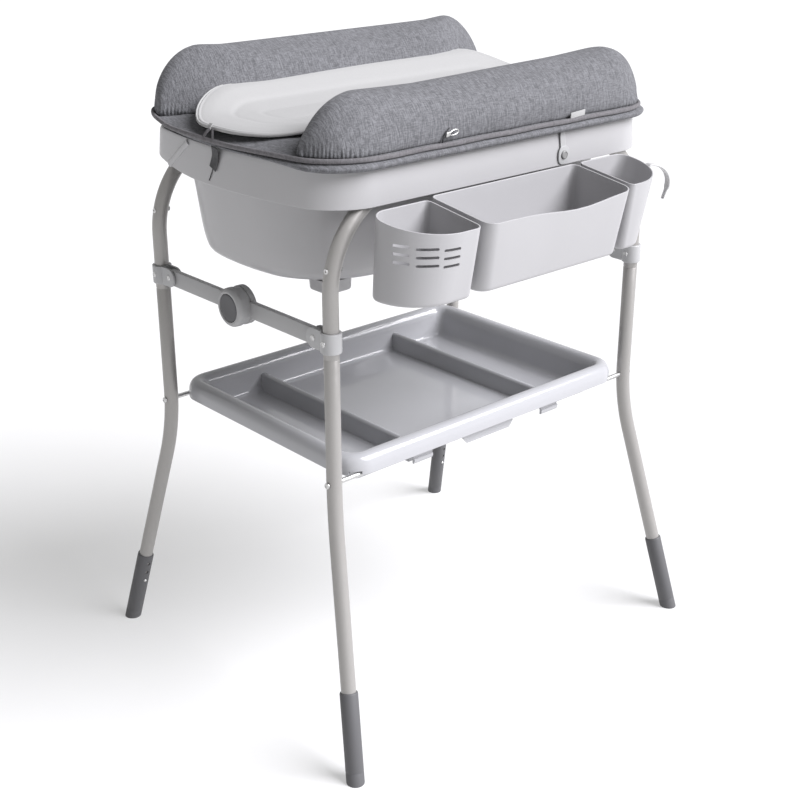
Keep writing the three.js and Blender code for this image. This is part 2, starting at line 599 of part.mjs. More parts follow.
function matBase() {
  const s = SKIRT;
  const at = (grow, z) => ring(s.x + grow, s.y + grow, s.corner + grow, z, s.bow, 4, 3);
  return loft([at(-4, MAT_LOW), at(5, MAT_LOW + 7), at(6, MAT_LOW + 12), at(0, MAT_TOP)]);
}

// A side cushion: D-shaped sections along X that shrink towards the ends.
function bolster(sy, height) {
  const sections = 9;
  const rings = Array.from({ length: sections }, (_, k) => {
    const x = -BOLSTER.reach + (2 * BOLSTER.reach * k) / (sections - 1);
    const fade = Math.min((BOLSTER.reach - Math.abs(x)) / BOLSTER.taper, 1);
    const size = 0.42 + 0.58 * Math.sqrt(1 - (1 - fade) ** 2);
    const outer = BOLSTER.outer - 26 * (1 - fade) ** 2;
    const width = outer - BOLSTER.inner;
    return Array.from({ length: 10 }, (_, i) => {
      const t = (Math.PI * i) / 9;
      const y = BOLSTER.inner + width * (0.5 - 0.5 * Math.cos(t));
      return new THREE.Vector3(x, sy * y, MAT_TOP + 1 + height * size * Math.sin(t) ** 0.8);
    });
  });
  if (sy > 0) rings.reverse();
  return loft(rings);
}

function liner() {
  const at = (inset, z) => ring(356 - inset, 108 - inset, 96 - inset, z, 6, 4, 3);
  return loft([at(6, MAT_TOP + 1), at(0, MAT_TOP + 6), at(0, MAT_TOP + 10), at(8, MAT_TOP + 16)]);
}

function buildSoftGoods() {
  put('mat_base', matBase(), GREY_FABRIC);
  put('front_bolster', bolster(-1, 80), GREY_FABRIC);
  put('back_bolster', bolster(1, 94), GREY_FABRIC);
  put('liner_pad', liner(), WHITE_FABRIC);
}

buildFrame();
buildBraces();
buildTub();
buildTray();
buildContainers();
buildSoftGoods();
export default assembly;
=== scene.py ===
"""Fold-up changing table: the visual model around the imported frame."""
import json
import math

import bmesh
import bpy
import numpy as np
from mathutils import Matrix, Vector


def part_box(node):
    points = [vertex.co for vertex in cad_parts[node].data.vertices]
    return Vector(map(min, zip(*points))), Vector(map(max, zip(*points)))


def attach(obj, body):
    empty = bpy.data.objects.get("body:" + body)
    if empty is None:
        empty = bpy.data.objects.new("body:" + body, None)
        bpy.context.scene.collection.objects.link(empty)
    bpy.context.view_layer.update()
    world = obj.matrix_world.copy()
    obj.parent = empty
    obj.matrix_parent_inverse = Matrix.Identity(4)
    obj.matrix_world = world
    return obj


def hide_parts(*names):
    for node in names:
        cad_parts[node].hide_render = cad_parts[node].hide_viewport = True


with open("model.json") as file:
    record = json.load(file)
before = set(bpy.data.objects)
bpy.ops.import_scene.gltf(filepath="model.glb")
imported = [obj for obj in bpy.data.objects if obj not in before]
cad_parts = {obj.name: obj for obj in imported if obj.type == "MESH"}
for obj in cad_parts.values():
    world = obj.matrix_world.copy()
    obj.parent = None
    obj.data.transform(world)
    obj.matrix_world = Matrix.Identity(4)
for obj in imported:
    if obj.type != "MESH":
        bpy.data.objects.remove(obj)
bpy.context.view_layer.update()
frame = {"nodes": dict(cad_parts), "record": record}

MM = 0.001


# ---- places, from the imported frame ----
def low(node):
    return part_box(node)[0] / MM


def high(node):
    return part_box(node)[1] / MM


def middle(node):
    return (low(node) + high(node)) / 2


TUBE_R = (high("front_hoop").y - low("front_hoop").y) / 2
LEG_X = high("front_hoop").x - TUBE_R
BAR_Z = high("front_hoop").z - TUBE_R
SEAM_Z = low("front_hoop").z
MID_Y = (middle("back_hoop").y + middle("front_hoop").y) / 2
LEG_Y = (middle("back_hoop").y - middle("front_hoop").y) / 2
ROD_Z = middle("front_tray_rod").z
ROD_R = (high("front_tray_rod").z - low("front_tray_rod").z) / 2
BRACKET_Z = middle("front_left_bracket").z
PIVOT_Y = abs(middle("back_left_pivot_pin").y - MID_Y)
FEET = {m["name"]: Vector(m["pos_m"]) / MM for m in frame["record"]["mounts"]}
FOOT_X = FEET["back_right_foot_face"].x
FOOT_Y = FEET["back_right_foot_face"].y - MID_Y
SIDES = {"left": -1, "right": 1}
ENDS = {"front": -1, "back": 1}
MOULDED = 42   # degrees: the large mouldings shade smooth over edges up to this angle


def row(p):
    """A point in millimetres from the middle of the feet, as metres in the row frame."""
    return (p[0] * MM, (p[1] + MID_Y) * MM, p[2] * MM)


# ---- mesh helpers ---------------------
def new_piece(name, verts, faces, material, sharp=None):
    """A smooth-shaded object of one material; edges sharper than the given angle stay crisp."""
    mesh = bpy.data.meshes.new(name)
    mesh.from_pydata([row(v) for v in verts], [], [list(map(int, f)) for f in faces])
    bm = bmesh.new()
    bm.from_mesh(mesh)
    bmesh.ops.recalc_face_normals(bm, faces=bm.faces)
    bm.to_mesh(mesh)
    bm.free()
    mesh.shade_smooth()
    if sharp:
        mesh.set_sharp_from_angle(angle=math.radians(sharp))
    mesh.materials.append(material)
    obj = bpy.data.objects.new(name, mesh)
    bpy.context.scene.collection.objects.link(obj)
    return obj


def smooth(obj, angle):
    """Shades smooth, with edges sharper than the angle kept crisp."""
    obj.data.shade_smooth()
    obj.data.set_sharp_from_angle(angle=math.radians(angle))
    return obj


def settle(obj, body, slot, *replaced):
    """Attaches a piece to the body it rides on and hides the CAD nodes it replaces; the slot argument is not
    used.
    """
    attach(obj, body)
    if replaced:
        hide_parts(*replaced)
    return obj


def bake(obj):
    """Puts what the modifiers do into the mesh."""
    graph = bpy.context.evaluated_depsgraph_get()
    mesh = bpy.data.meshes.new_from_object(obj.evaluated_get(graph))
    obj.modifiers.clear()
    obj.data = mesh
    return obj


def boolean(obj, tool, operation):
    """Joins or cuts with a tool object, which is then removed."""
    bpy.context.view_layer.update()
    change = obj.modifiers.new("boolean", "BOOLEAN")
    change.operation, change.solver, change.object = operation, "MANIFOLD", tool
    bake(obj)
    bpy.data.objects.remove(tool)
    return obj


def soften(obj, width):
    """Rounds the edges of a piece."""
    bevel = obj.modifiers.new("bevel", "BEVEL")
    bevel.width, bevel.segments, bevel.limit_method = width * MM, 3, "ANGLE"
    bevel.angle_limit = math.radians(30)
    bevel.harden_normals = False
    return smooth(bake(obj), 40)


def loft(rings, closed=False, caps=True):
    """Verts and faces through rings of equally many points."""
    rings = np.asarray(rings, float)
    count, size = rings.shape[:2]
    faces = []
    for r in range(count if closed else count - 1):
        here, there = r * size, ((r + 1) % count) * size
        for i in range(size):
            j = (i + 1) % size
            faces.append((here + i, here + j, there + j, there + i))
    if caps and not closed:
        faces.append(tuple(range(size - 1, -1, -1)))
        faces.append(tuple(range((count - 1) * size, count * size)))
    return rings.reshape(-1, 3), faces


def rounded(rings, radii, steps):
    """Rings with the corner at each one eased over its radius."""
    rings = [np.asarray(r, float) for r in rings]
    out = []
    for k, ring in enumerate(rings):
        if not radii[k] or k in (0, len(rings) - 1):
            out.append(ring)
            continue
        ends = []
        for other in (rings[k - 1], rings[k + 1]):
            way = other - ring
            length = np.maximum(np.linalg.norm(way, axis=-1, keepdims=True), 1e-6)
            ends.append(ring + way * np.minimum(radii[k] / length, 0.48))
        for s in range(steps + 1):
            t = s / steps
            out.append((1 - t) ** 2 * ends[0] + 2 * t * (1 - t) * ring + t * t * ends[1])
    return out


def bent(points, radii, steps=6):
    """A polyline with its corners eased."""
    return np.array(rounded([np.array([p]) for p in points], radii, steps))[:, 0]


def sweep(points, section, up=None, closed=False, scale=None):
    """Verts and faces of a section carried along points; section is (across, along up)."""
    pts = np.asarray(points, float)
    n = len(pts)
    ahead = np.roll(pts, -1, 0) - np.roll(pts, 1, 0) if closed else np.gradient(pts, axis=0)
    ahead /= np.linalg.norm(ahead, axis=1, keepdims=True)
    rings = []
    side = None
    for k in range(n):
        t = Vector(ahead[k])
        if up is not None:
            ref = Vector(up[k] if np.ndim(up) == 2 else up)
            side = t.cross(ref).normalized()
        elif side is None:
            ref = Vector((0, 0, 1)) if abs(t.z) < 0.8 else Vector((1, 0, 0))
            side = t.cross(ref).normalized()
        else:
            side = (side - t * side.dot(t)).normalized()
        top = side.cross(t)
        s = 1 if scale is None else scale[k]
        rings.append([pts[k] + s * (a * np.array(side) + b * np.array(top)) for a, b in section])
    return loft(rings, closed=closed)


def skin(control, steps):
    """Verts and faces through rings, each given with the radius that its corner is eased over."""
    return loft(rounded([ring for ring, _ in control], [radius for _, radius in control], steps))


def circle(radius, sides):
    return [(radius * math.cos(2 * math.pi * i / sides), radius * math.sin(2 * math.pi * i / sides))
            for i in range(sides)]


def lathe(profile, origin, axis, sides=32):
    """Verts and faces of (radius, height) turned about an axis."""
    turn = Vector(axis).normalized().to_track_quat("Z", "Y").to_matrix()
    origin = Vector(origin)
    rings = [[origin + turn @ Vector((r * c, r * s, h)) for c, s in circle(1, sides)] for r, h in profile]
    return loft([[tuple(p) for p in ring] for ring in rings])


def plan(half_x, half_y, corner, z, bow=0, corner_steps=12, side_steps=18):
    """A level rounded rectangle; its short sides bow outwards."""
    r = min(corner, half_x, half_y)
    points = []
    for sx, sy, start in ((1, 1, 0), (-1, 1, 90), (-1, -1, 180), (1, -1, 270)):
        for i in range(corner_steps + 1):
            t = math.radians(start + 90 * i / corner_steps)
            points.append((sx * (half_x - r) + r * math.cos(t), sy * (half_y - r) + r * math.sin(t)))
        x, y = points[-1]
        along_x = start in (0, 180)
        length = 2 * ((half_x if along_x else half_y) - r)
        for i in range(1, side_steps):
            step = length * i / side_steps
            points.append((x - sx * step, y) if along_x else (x, y - sy * step))
    return [(x - math.copysign(bow, x) * (y / half_y) ** 2 * min(abs(x) / (half_x * 0.6), 1), y, z)
            for x, y in points]


def extrude(outline, plane, start, depth):
    """Verts and faces of an outline given in a plane's two axes, extruded along the third."""
    third = 3 - sum(plane)
    rings = []
    for level in (start, start + depth):
        ring = []
        for a, b in outline:
            p = [0, 0, 0]
            p[plane[0]], p[plane[1]], p[third] = a, b, level
            ring.append(p)
        rings.append(ring)
    return loft(rings)


def arc(cx, cy, r, start, end, steps=10):
    return [(cx + r * math.cos(math.radians(start + (end - start) * i / steps)),
             cy + r * math.sin(math.radians(start + (end - start) * i / steps))) for i in range(steps + 1)]


def block(x, y, z):
    """Verts and faces of a box, each side given from and to."""
    outline = [(x[0], y[0]), (x[1], y[0]), (x[1], y[1]), (x[0], y[1])]
    return extrude(outline, (0, 1), z[0], z[1] - z[0])


def band(half_a, half_b, power_a, power_b, sides):
    """An oval squared off by its two powers."""
    return [(half_a * math.copysign(abs(a) ** power_a, a), half_b * math.copysign(abs(b) ** power_b, b))
            for a, b in circle(1, sides)]


# ---- materials ------------------------
class Nodes:
    """A small builder for a material's node tree."""

    def __init__(self, name):
        self.material = bpy.data.materials.new(name)
        self.material.use_nodes = True
        self.tree = self.material.node_tree
        self.shader = self.tree.nodes["Principled BSDF"]
        self.place = self.add("ShaderNodeTexCoord").outputs["Object"]

    def colour(self, fac, a, b):
        """The shader's colour goes from a to b as the factor does from 0 to 1."""
        self.set(self.shader, "Base Color", self.blend(fac, a, b))

    def constants(self, **values):
        """Values of the shader's own sockets."""
        for key, value in values.items():
            self.shader.inputs[key.replace("_", " ")].default_value = value

    def add(self, kind, **inputs):
        node = self.tree.nodes.new(kind)
        for key, value in inputs.items():
            self.set(node, key.replace("_", " "), value)
        return node

    def set(self, node, key, value):
        socket = node.inputs[key]
        if isinstance(value, bpy.types.NodeSocket):
            self.tree.links.new(value, socket)
        else:
            socket.default_value = value

    def noise(self, scale, detail, stretch=(1, 1, 1), rough=0.5):
        mapping = self.add("ShaderNodeMapping", Vector=self.place, Scale=stretch)
        return self.add("ShaderNodeTexNoise", Vector=mapping.outputs[0], Scale=scale, Detail=detail,
                        Roughness=rough).outputs["Fac"]

    def remap(self, value, low_in, high_in, low_out=0.0, high_out=1.0):
        return self.add("ShaderNodeMapRange", Value=value, From_Min=low_in, From_Max=high_in,
                        To_Min=low_out, To_Max=high_out).outputs[0]

    def blend(self, fac, a, b):
        node = self.add("ShaderNodeMix")
        node.data_type = "RGBA"
        self.set(node, 0, fac)
        for index, value in ((6, a), (7, b)):
            if isinstance(value, bpy.types.NodeSocket):
                self.tree.links.new(value, node.inputs[index])
            else:
                node.inputs[index].default_value = (*value, 1)
        return node.outputs[2]

    def math(self, operation, a, b):
        node = self.add("ShaderNodeMath")
        node.operation = operation
        self.set(node, 0, a)
        self.set(node, 1, b)
        return node.outputs[0]

    def bump(self, height, distance, strength=1.0, under=None):
        node = self.add("ShaderNodeBump", Height=height)
        node.inputs["Distance"].default_value = distance
        node.inputs["Strength"].default_value = strength
        if under is not None:
            self.set(node, "Normal", under)
        return node.outputs[0]


def shade(colour, factor):
    return tuple(min(c * factor, 1) for c in colour)


def plastic(name, colour, roughness, grain=0.00004, uneven=0.04):
    """Moulded plastic: a fine spark-eroded grain and slightly uneven gloss."""
    n = Nodes(name)
    cloud = n.noise(9, 3)
    n.colour(n.remap(cloud, 0.3, 0.7), shade(colour, 0.985), shade(colour, 1.015))
    n.set(n.shader, "Roughness", n.remap(n.noise(7, 2), 0.3, 0.7, roughness - uneven, roughness + uneven))
    n.set(n.shader, "Normal", n.bump(n.noise(1400, 2), grain, 0.6))
    return n.material


def paint(name, colour):
    """Pearl paint on tube: a faint metallic fleck and orange peel."""
    n = Nodes(name)
    fleck = n.noise(2600, 1)
    n.colour(n.remap(fleck, 0.35, 0.65), shade(colour, 0.94), shade(colour, 1.06))
    n.set(n.shader, "Roughness", n.remap(n.noise(120, 3), 0.3, 0.7, 0.30, 0.42))
    n.constants(Metallic=0.35)
    n.set(n.shader, "Normal", n.bump(n.noise(350, 2), 0.00002, 0.5))
    return n.material


def steel(name):
    """Brushed steel: fine scratches along one axis."""
    n = Nodes(name)
    brushed = n.noise(900, 2, (1, 1, 0.06))
    n.colour(n.remap(brushed, 0.3, 0.7), (0.50, 0.50, 0.50), (0.66, 0.66, 0.65))
    n.set(n.shader, "Roughness", n.remap(brushed, 0.3, 0.7, 0.24, 0.4))
    n.constants(Metallic=0.9)
    n.set(n.shader, "Normal", n.bump(brushed, 0.00001, 0.5))
    return n.material


def melange(name, dark, light, thread=1.0):
    """Heathered weave: warp and weft threads, each a different grey along its length."""
    n = Nodes(name)
    weft = n.noise(1, 2, (110 * thread, 700 * thread, 700 * thread), 0.6)
    warp = n.noise(1, 2, (800 * thread, 90 * thread, 90 * thread), 0.6)
    threads = n.math("ADD", n.math("MULTIPLY", weft, 0.7), warp)
    mixed = n.math("ADD", threads, n.math("MULTIPLY", n.noise(14, 4, rough=0.6), 0.12))
    n.colour(n.remap(mixed, 0.74, 1.10), dark, light)
    n.constants(Roughness=0.92, Sheen_Weight=0.1, Sheen_Roughness=0.5, Specular_IOR_Level=0.25)
    wrinkle = n.bump(n.noise(20, 2), 0.0012, 0.2)
    n.set(n.shader, "Normal", n.bump(threads, 0.0004, 0.5, wrinkle))
    return n.material


def terry(name, colour):
    """Cotton towelling: short soft loops."""
    n = Nodes(name)
    loops = n.noise(900, 3, rough=0.7)
    n.colour(n.remap(loops, 0.3, 0.7), shade(colour, 0.94), shade(colour, 1.03))
    n.constants(Roughness=1.0, Sheen_Weight=0.3, Specular_IOR_Level=0.15)
    soft = n.bump(n.noise(30, 3), 0.0012, 0.25)
    n.set(n.shader, "Normal", n.bump(loops, 0.0005, 0.5, soft))
    return n.material


FRAME_PAINT = paint("frame_paint", (0.36, 0.35, 0.338))
STEEL = steel("brushed_steel")
TUB_PLASTIC = plastic("tub_plastic", (0.44, 0.437, 0.445), 0.34)
POT_PLASTIC = plastic("container_plastic", (0.43, 0.427, 0.437), 0.40)
TRAY_PLASTIC = plastic("tray_plastic", (0.45, 0.453, 0.472), 0.13, 0.000006, 0.01)
BRACE_PLASTIC = plastic("brace_plastic", (0.40, 0.40, 0.403), 0.42)
PALE_PLASTIC = plastic("pale_plastic", (0.44, 0.442, 0.446), 0.36)
WHITE_PLASTIC = plastic("white_plastic", (0.62, 0.62, 0.62), 0.35)
DARK_PLASTIC = plastic("dark_plastic", (0.105, 0.105, 0.11), 0.6)
SNAP_PLASTIC = plastic("snap_plastic", (0.27, 0.27, 0.27), 0.4)
GREY_FABRIC = melange("grey_fabric", (0.104, 0.105, 0.112), (0.216, 0.218, 0.232))
PIPING = melange("piping_fabric", (0.13, 0.125, 0.132), (0.20, 0.194, 0.204), 1.2)
WHITE_FABRIC = terry("white_terry", (0.435, 0.435, 0.433))
STRAP_FABRIC = melange("strap_fabric", (0.06, 0.06, 0.062), (0.10, 0.10, 0.104), 1.5)
# Near-black line material: the zip's dark seam, and also the painted shadow line of the strap's slit.
SEAM_AND_SHADE_LINE = plastic("seam_and_shade_line", (0.03, 0.03, 0.034), 0.7)


# ---- frame ----------------------------
SPLAY_Z = 415       # the legs splay outwards below this height
BEND_R = 150        # bends of the hoops
KNEE_R = 62         # how far a leg's bend reaches to either side of it
LEG_SEAM = 25       # the ring groove below the bracket's middle
COLLAR_HALF = 15.5  # half the height of a bracket's collar
CHEEK = (9, 5.3)    # outer and inner face of a bracket's cheeks, from the leg's middle
SLEEVE_R = 14.5
SLEEVE_LEN = 146
SLEEVE_HOLES = (16, 19)   # first hole below the sleeve's top, and the pitch


def leg_axis(sx, sy):
    """From the top of the splayed part of a leg to its foot."""
    return np.array([sx * (FOOT_X - LEG_X), sy * (FOOT_Y - LEG_Y), -SPLAY_Z], float)


def along_leg(sx, sy, z):
    """A point on the splayed part of a leg's axis."""
    return np.array([sx * FOOT_X, sy * FOOT_Y, 0.0]) - leg_axis(sx, sy) * z / SPLAY_Z


def make_frame():
    """Two hoops with their rods, and the legs plugged into them."""
    for end, sy in ENDS.items():
        body = f"{end}_frame"
        corners = [(-LEG_X, sy * LEG_Y, SEAM_Z), (-LEG_X, sy * LEG_Y, BAR_Z),
                   (LEG_X, sy * LEG_Y, BAR_Z), (LEG_X, sy * LEG_Y, SEAM_Z)]
        path = [corners[0]]
        for cx, first, last in ((-LEG_X + BEND_R, 180, 90), (LEG_X - BEND_R, 90, 0)):
            path += [(x, sy * LEG_Y, z) for x, z in arc(cx, BAR_Z - BEND_R, BEND_R, first, last, 28)]
        path.append(corners[3])
        pipe = new_piece(f"{end}_hoop_tube", *sweep(path, circle(TUBE_R, 32)), FRAME_PAINT, 50)
        settle(pipe, body, "frame_paint", f"{end}_hoop")
        start = low(f"{end}_tray_rod").x
        length = high(f"{end}_tray_rod").x - start
        rod = lathe([(0.01, 0), (ROD_R - 0.6, 0), (ROD_R, 0.6), (ROD_R, length - 0.6), (ROD_R - 0.6, length),
                     (0.01, length)], (start, sy * LEG_Y, ROD_Z), (1, 0, 0), 24)
        settle(new_piece(f"{end}_rod", *rod, STEEL, 40), body, "steel", f"{end}_tray_rod")
        for side, sx in SIDES.items():
            make_leg(end, side, sy, sx, body)


def make_leg(end, side, sy, sx, body):
    """A leg with a ring groove at its seam, its screw, bolt, bracket and foot."""
    tag = f"{end}_{side}"
    foot = along_leg(sx, sy, 26)
    knee = (sx * LEG_X, sy * LEG_Y, SPLAY_Z)
    top = (sx * LEG_X, sy * LEG_Y, SEAM_Z - 0.3)
    path = bent([top, knee, foot], [0, KNEE_R, 0], 18)
    seam = BRACKET_Z - LEG_SEAM
    path = np.vstack([path[:1]] + [[(sx * LEG_X, sy * LEG_Y, seam + d)] for d in (1.3, 0.6, 0, -0.6, -1.3)]
                     + [path[1:]])
    scale = [1, 1, 0.955, 0.95, 0.955, 1] + [1] * (len(path) - 6)
    pipe = new_piece(f"{tag}_leg_tube", *sweep(path, circle(TUBE_R, 32), scale=scale), FRAME_PAINT, 50)
    settle(pipe, body, "frame_paint", f"{tag}_leg")

    head = [(0.01, 0), (5, 0), (5, 0.9), (4.4, 2.0), (2.8, 2.7), (1.6, 2.8), (1.5, 2.0), (0.01, 2.0)]
    screw = lathe(head, (sx * (LEG_X + TUBE_R + 1.3), sy * LEG_Y, ROD_Z), (sx, 0, 0))
    settle(new_piece(f"{tag}_screw", *screw, STEEL, 40), body, "steel", f"{tag}_rod_screw")

    bolt = middle(f"{tag}_hoop_bolt")
    reach = (high(f"{tag}_hoop_bolt").x - low(f"{tag}_hoop_bolt").x) / 2
    flush = TUBE_R + 0.5
    dome = [(0.01, -reach), (2.6, -reach + 0.3), (4.6, -reach + 1.5), (5, -reach + 2.9), (3, -reach + 3),
            (3, flush - 2), (4.2, flush - 1), (3.8, flush), (2, flush), (1.6, flush - 1.2),
            (0.01, flush - 1.2)]
    turned = lathe(dome, (bolt.x, bolt.y - MID_Y, bolt.z), (sx, 0, 0), 24)
    settle(new_piece(f"{tag}_bolt", *turned, STEEL, 50), body, "steel", f"{tag}_hoop_bolt")
    make_bracket(tag, sx, sy, body)
    make_foot(tag, sx, sy)


def make_bracket(tag, sx, sy, body):
    """A collar round the leg with two cheeks, and the rivets through both."""
    x0, y0 = sx * LEG_X, sy * LEG_Y
    half = COLLAR_HALF
    out, gap = CHEEK
    arm = LEG_Y - PIVOT_Y
    collar_r = TUBE_R + 4

    def shape(outline, start, depth):
        verts, faces = extrude([(y0 - sy * a, BRACKET_Z + b) for a, b in outline], (1, 2), x0 + start, depth)
        return new_piece("tool", verts, faces, PALE_PLASTIC)

    collar = lathe([(collar_r - 1, -half), (collar_r, -half + 1), (collar_r, half - 1), (collar_r - 1, half)],
                   (x0, y0, BRACKET_Z), (0, 0, 1), 40)
    bracket = new_piece(f"{tag}_clamp", *collar, PALE_PLASTIC)
    cheek = [(-6, -half), *arc(arm, 0, half, -90, 90, 14), (-6, half)]
    boolean(bracket, shape(cheek, -out, 2 * out), "UNION")
    near, far, tall = TUBE_R + 2.5, arm + half + 2, half + 2
    between = [(near, -tall), (far, -tall), (far, tall), (near, tall)]
    boolean(bracket, shape(between, -gap, 2 * gap), "DIFFERENCE")
    bore = new_piece("tool", *lathe([(TUBE_R + 0.15, -half - 3), (TUBE_R + 0.15, half + 3)],
                                    (x0, y0, BRACKET_Z), (0, 0, 1), 40), PALE_PLASTIC)
    boolean(bracket, bore, "DIFFERENCE")
    soften(bracket, 0.9)
    settle(bracket, body, "pale_plastic", f"{tag}_bracket")
    rivet = [(0.01, 0), (4.6, 0), (4.4, 0.8), (3.4, 1.5), (2.4, 1.6), (1.9, 0.7), (0.01, 0.6)]
    for k, (back, proud) in enumerate(((0, collar_r - 0.3), (arm, out))):
        heads = [lathe(rivet, (x0 + s * proud, y0 - sy * back, BRACKET_Z), (s, 0, 0), 24) for s in (-1, 1)]
        verts = np.vstack([heads[0][0], heads[1][0]])
        faces = heads[0][1] + [tuple(i + len(heads[0][0]) for i in f) for f in heads[1][1]]
        pin = new_piece(f"{tag}_rivet_{k}", verts, faces, STEEL, 50)
        settle(pin, body, "steel", *([f"{tag}_pivot_pin"] if k else []))


def make_foot(tag, sx, sy):
    """A dark sleeve cut level at the floor, with three holes and the snap button in the lowest."""
    up = -leg_axis(sx, sy)
    up /= np.linalg.norm(up)
    length, outer = SLEEVE_LEN, SLEEVE_R
    first, pitch = SLEEVE_HOLES
    base = np.array([sx * FOOT_X, sy * FOOT_Y, 0.0])
    profile = [(0.01, -9), (outer, -9), (outer, 16), (outer - 0.35, 17), (outer, 18), (outer, length - 2.5),
               (outer - 0.9, length - 0.5), (outer - 1.6, length), (TUBE_R + 0.3, length),
               (TUBE_R + 0.3, 18), (0.01, 18)]
    sleeve = new_piece(f"{tag}_boot", *lathe(profile, base, up, 40), DARK_PLASTIC)
    side = np.cross(up, (0, -sy, 0))
    side /= np.linalg.norm(side)
    face = np.cross(side, up)
    for k in range(3):
        z = length - first - pitch * k
        centre = base + up * z + face * 8
        hole = new_piece("tool", *lathe([(3.4, 0), (3.4, 12)], centre, face, 24), DARK_PLASTIC)
        boolean(sleeve, hole, "DIFFERENCE")
    bm = bmesh.new()
    bm.from_mesh(sleeve.data)
    geom = list(bm.verts) + list(bm.edges) + list(bm.faces)
    cutting = bmesh.ops.bisect_plane(bm, geom=geom, plane_co=(0, 0, 0), plane_no=(0, 0, -1), clear_outer=True)
    edges = [e for e in cutting["geom_cut"] if isinstance(e, bmesh.types.BMEdge)]
    bmesh.ops.edgenet_fill(bm, edges=edges)
    bm.to_mesh(sleeve.data)
    bm.free()
    settle(smooth(sleeve, 35), f"{tag}_foot", "dark_plastic", f"{tag}_sleeve")
    profile = [(0.01, 0), (3.1, 0), (3.1, 2.6), (2.7, 4.0), (1.6, 5.2), (0.01, 5.7)]
    button = lathe(profile, base + up * (length - first - 2 * pitch) + face * (TUBE_R - 1), face, 20)
    settle(new_piece(f"{tag}_snap_dome", *button, STEEL, 60), f"{tag}_snap", "steel", f"{tag}_snap_button")


make_frame()


# ---- folding braces -------------------
HUB_R, BAR_H, BAR_T = 31, 26, 9   # the hub's radius, a bar's height and thickness
HUB_FACE = 9.8      # back of the hub's knob, out from the bars' middle


def make_braces():
    """Each brace is a rear and a front bar that meet in a hub, with a button in its knob."""
    for side, sx in SIDES.items():
        x0 = sx * LEG_X
        for end, sy in ENDS.items():
            name = "rear" if sy > 0 else "front"
            outline = [(HUB_R + 1.5, -BAR_H / 2),
                       *arc(PIVOT_Y, 0, BAR_H / 2, -90, 90, 14), (HUB_R + 1.5, BAR_H / 2)]

            def shape(outline, start, stop):
                a, b = sorted((x0 + sx * start, x0 + sx * stop))
                verts, faces = extrude([(sy * u, BRACKET_Z + v) for u, v in outline], (1, 2), a, b - a)
                return new_piece("tool", verts, faces, BRACE_PLASTIC)

            bar = shape(outline, -BAR_T / 2, BAR_T / 2)
            level = (0.3, 9.5) if sy < 0 else (-9.5, -0.3)
            disc = arc(0, 0, HUB_R - (0 if sy > 0 else 1), 0, 360, 48)[:-1]
            boolean(bar, shape(disc, *level), "UNION")
            half = BAR_H / 2 - 1
            neck = [(8, -half), (HUB_R + 14, -half), (HUB_R + 14, half), (8, half)]
            inner = (0.3, BAR_T / 2 - 0.5) if sy < 0 else (-BAR_T / 2 + 0.5, -0.3)
            boolean(bar, shape(neck, *inner), "UNION")
            soften(bar, 1.3)
            bar.name = bar.data.name = f"{side}_{name}_arm"
            settle(bar, f"{side}_{name}_brace", "brace_plastic", f"{side}_{name}_brace")
        start = HUB_FACE
        knob = [(4.5, start), (HUB_R, start), (HUB_R, start + 7), *arc(HUB_R - 8, start + 7, 8, 0, 70, 8),
                (23.2, start + 14.2), (22.6, start + 13.6), (22.6, start + 4), (4.5, start + 4)]
        hub = lathe(knob + knob[:1], (x0, 0, BRACKET_Z), (sx, 0, 0), 64)
        settle(new_piece(f"{side}_hub_knob", *hub, BRACE_PLASTIC, 50), f"{side}_front_brace",
               "brace_plastic", f"{side}_hub_housing")
        press = [(0.01, start + 9), (22, start + 9), (22, start + 13.0), (21.3, start + 14.0),
                 (19.5, start + 14.3), (14, start + 13.9), (7, start + 13.5), (0.01, start + 13.4)]
        button = lathe(press, (x0, 0, BRACKET_Z), (sx, 0, 0), 64)
        settle(new_piece(f"{side}_press_disc", *button, DARK_PLASTIC, 50), f"{side}_hub_button",
               "dark_plastic", f"{side}_hub_button")
        pin = [(0.01, -12.6), (4, -12.4), (6.6, -11.4), (7, -9.9), (3.9, -9.8), (3.9, start + 4.4),
               (0.01, start + 4.4)]
        settle(new_piece(f"{side}_hub_axle", *lathe(pin, (x0, 0, BRACKET_Z), (sx, 0, 0), 32), STEEL, 50),
               f"{side}_front_brace", "steel", f"{side}_hub_pin")


make_braces()


# ---- tub ------------------------------
TUB_TOP = 936
SKIRT = dict(x=368, y=242, corner=65, bow=35, low=882)
BASIN = dict(x=357, y=197, corner=130, bow=30, floor=742)
WALL = 3
SKIRT_DRAFT = 3           # the skirt leans in by this much towards its top
TUB_FOOT = (250, 115)     # middle of a foot under the basin
HANDLE = (212, 312)       # the openings in the back skirt, along X
DRAIN = (235, 0, BASIN["floor"])


def lean(z):
    """How far the skirt's outer face has leaned in at a height."""
    return SKIRT_DRAFT * (z - SKIRT["low"]) / (TUB_TOP - SKIRT["low"])


def skirt(inset, z):
    """The hanging flange round the rim; its lower edge rises towards the back."""
    inward = inset + lean(z)
    ring = plan(SKIRT["x"] - inward, SKIRT["y"] - inward, SKIRT["corner"] - inset, z, SKIRT["bow"])
    if z > SKIRT["low"]:
        return ring
    return [(x, y, z - 5 + 13 * min(max((y - 40) / 150, 0), 1) ** 2) for x, y, z in ring]


def skirt_x(y, z):
    """How far the skirt's outer face reaches at its ends."""
    return SKIRT["x"] - lean(z) - SKIRT["bow"] * (y / SKIRT["y"]) ** 2


def basin(inset, z):
    """The plan of the bath at a height."""
    return plan(BASIN["x"] - inset, BASIN["y"] - inset, BASIN["corner"] - inset, z, BASIN["bow"])


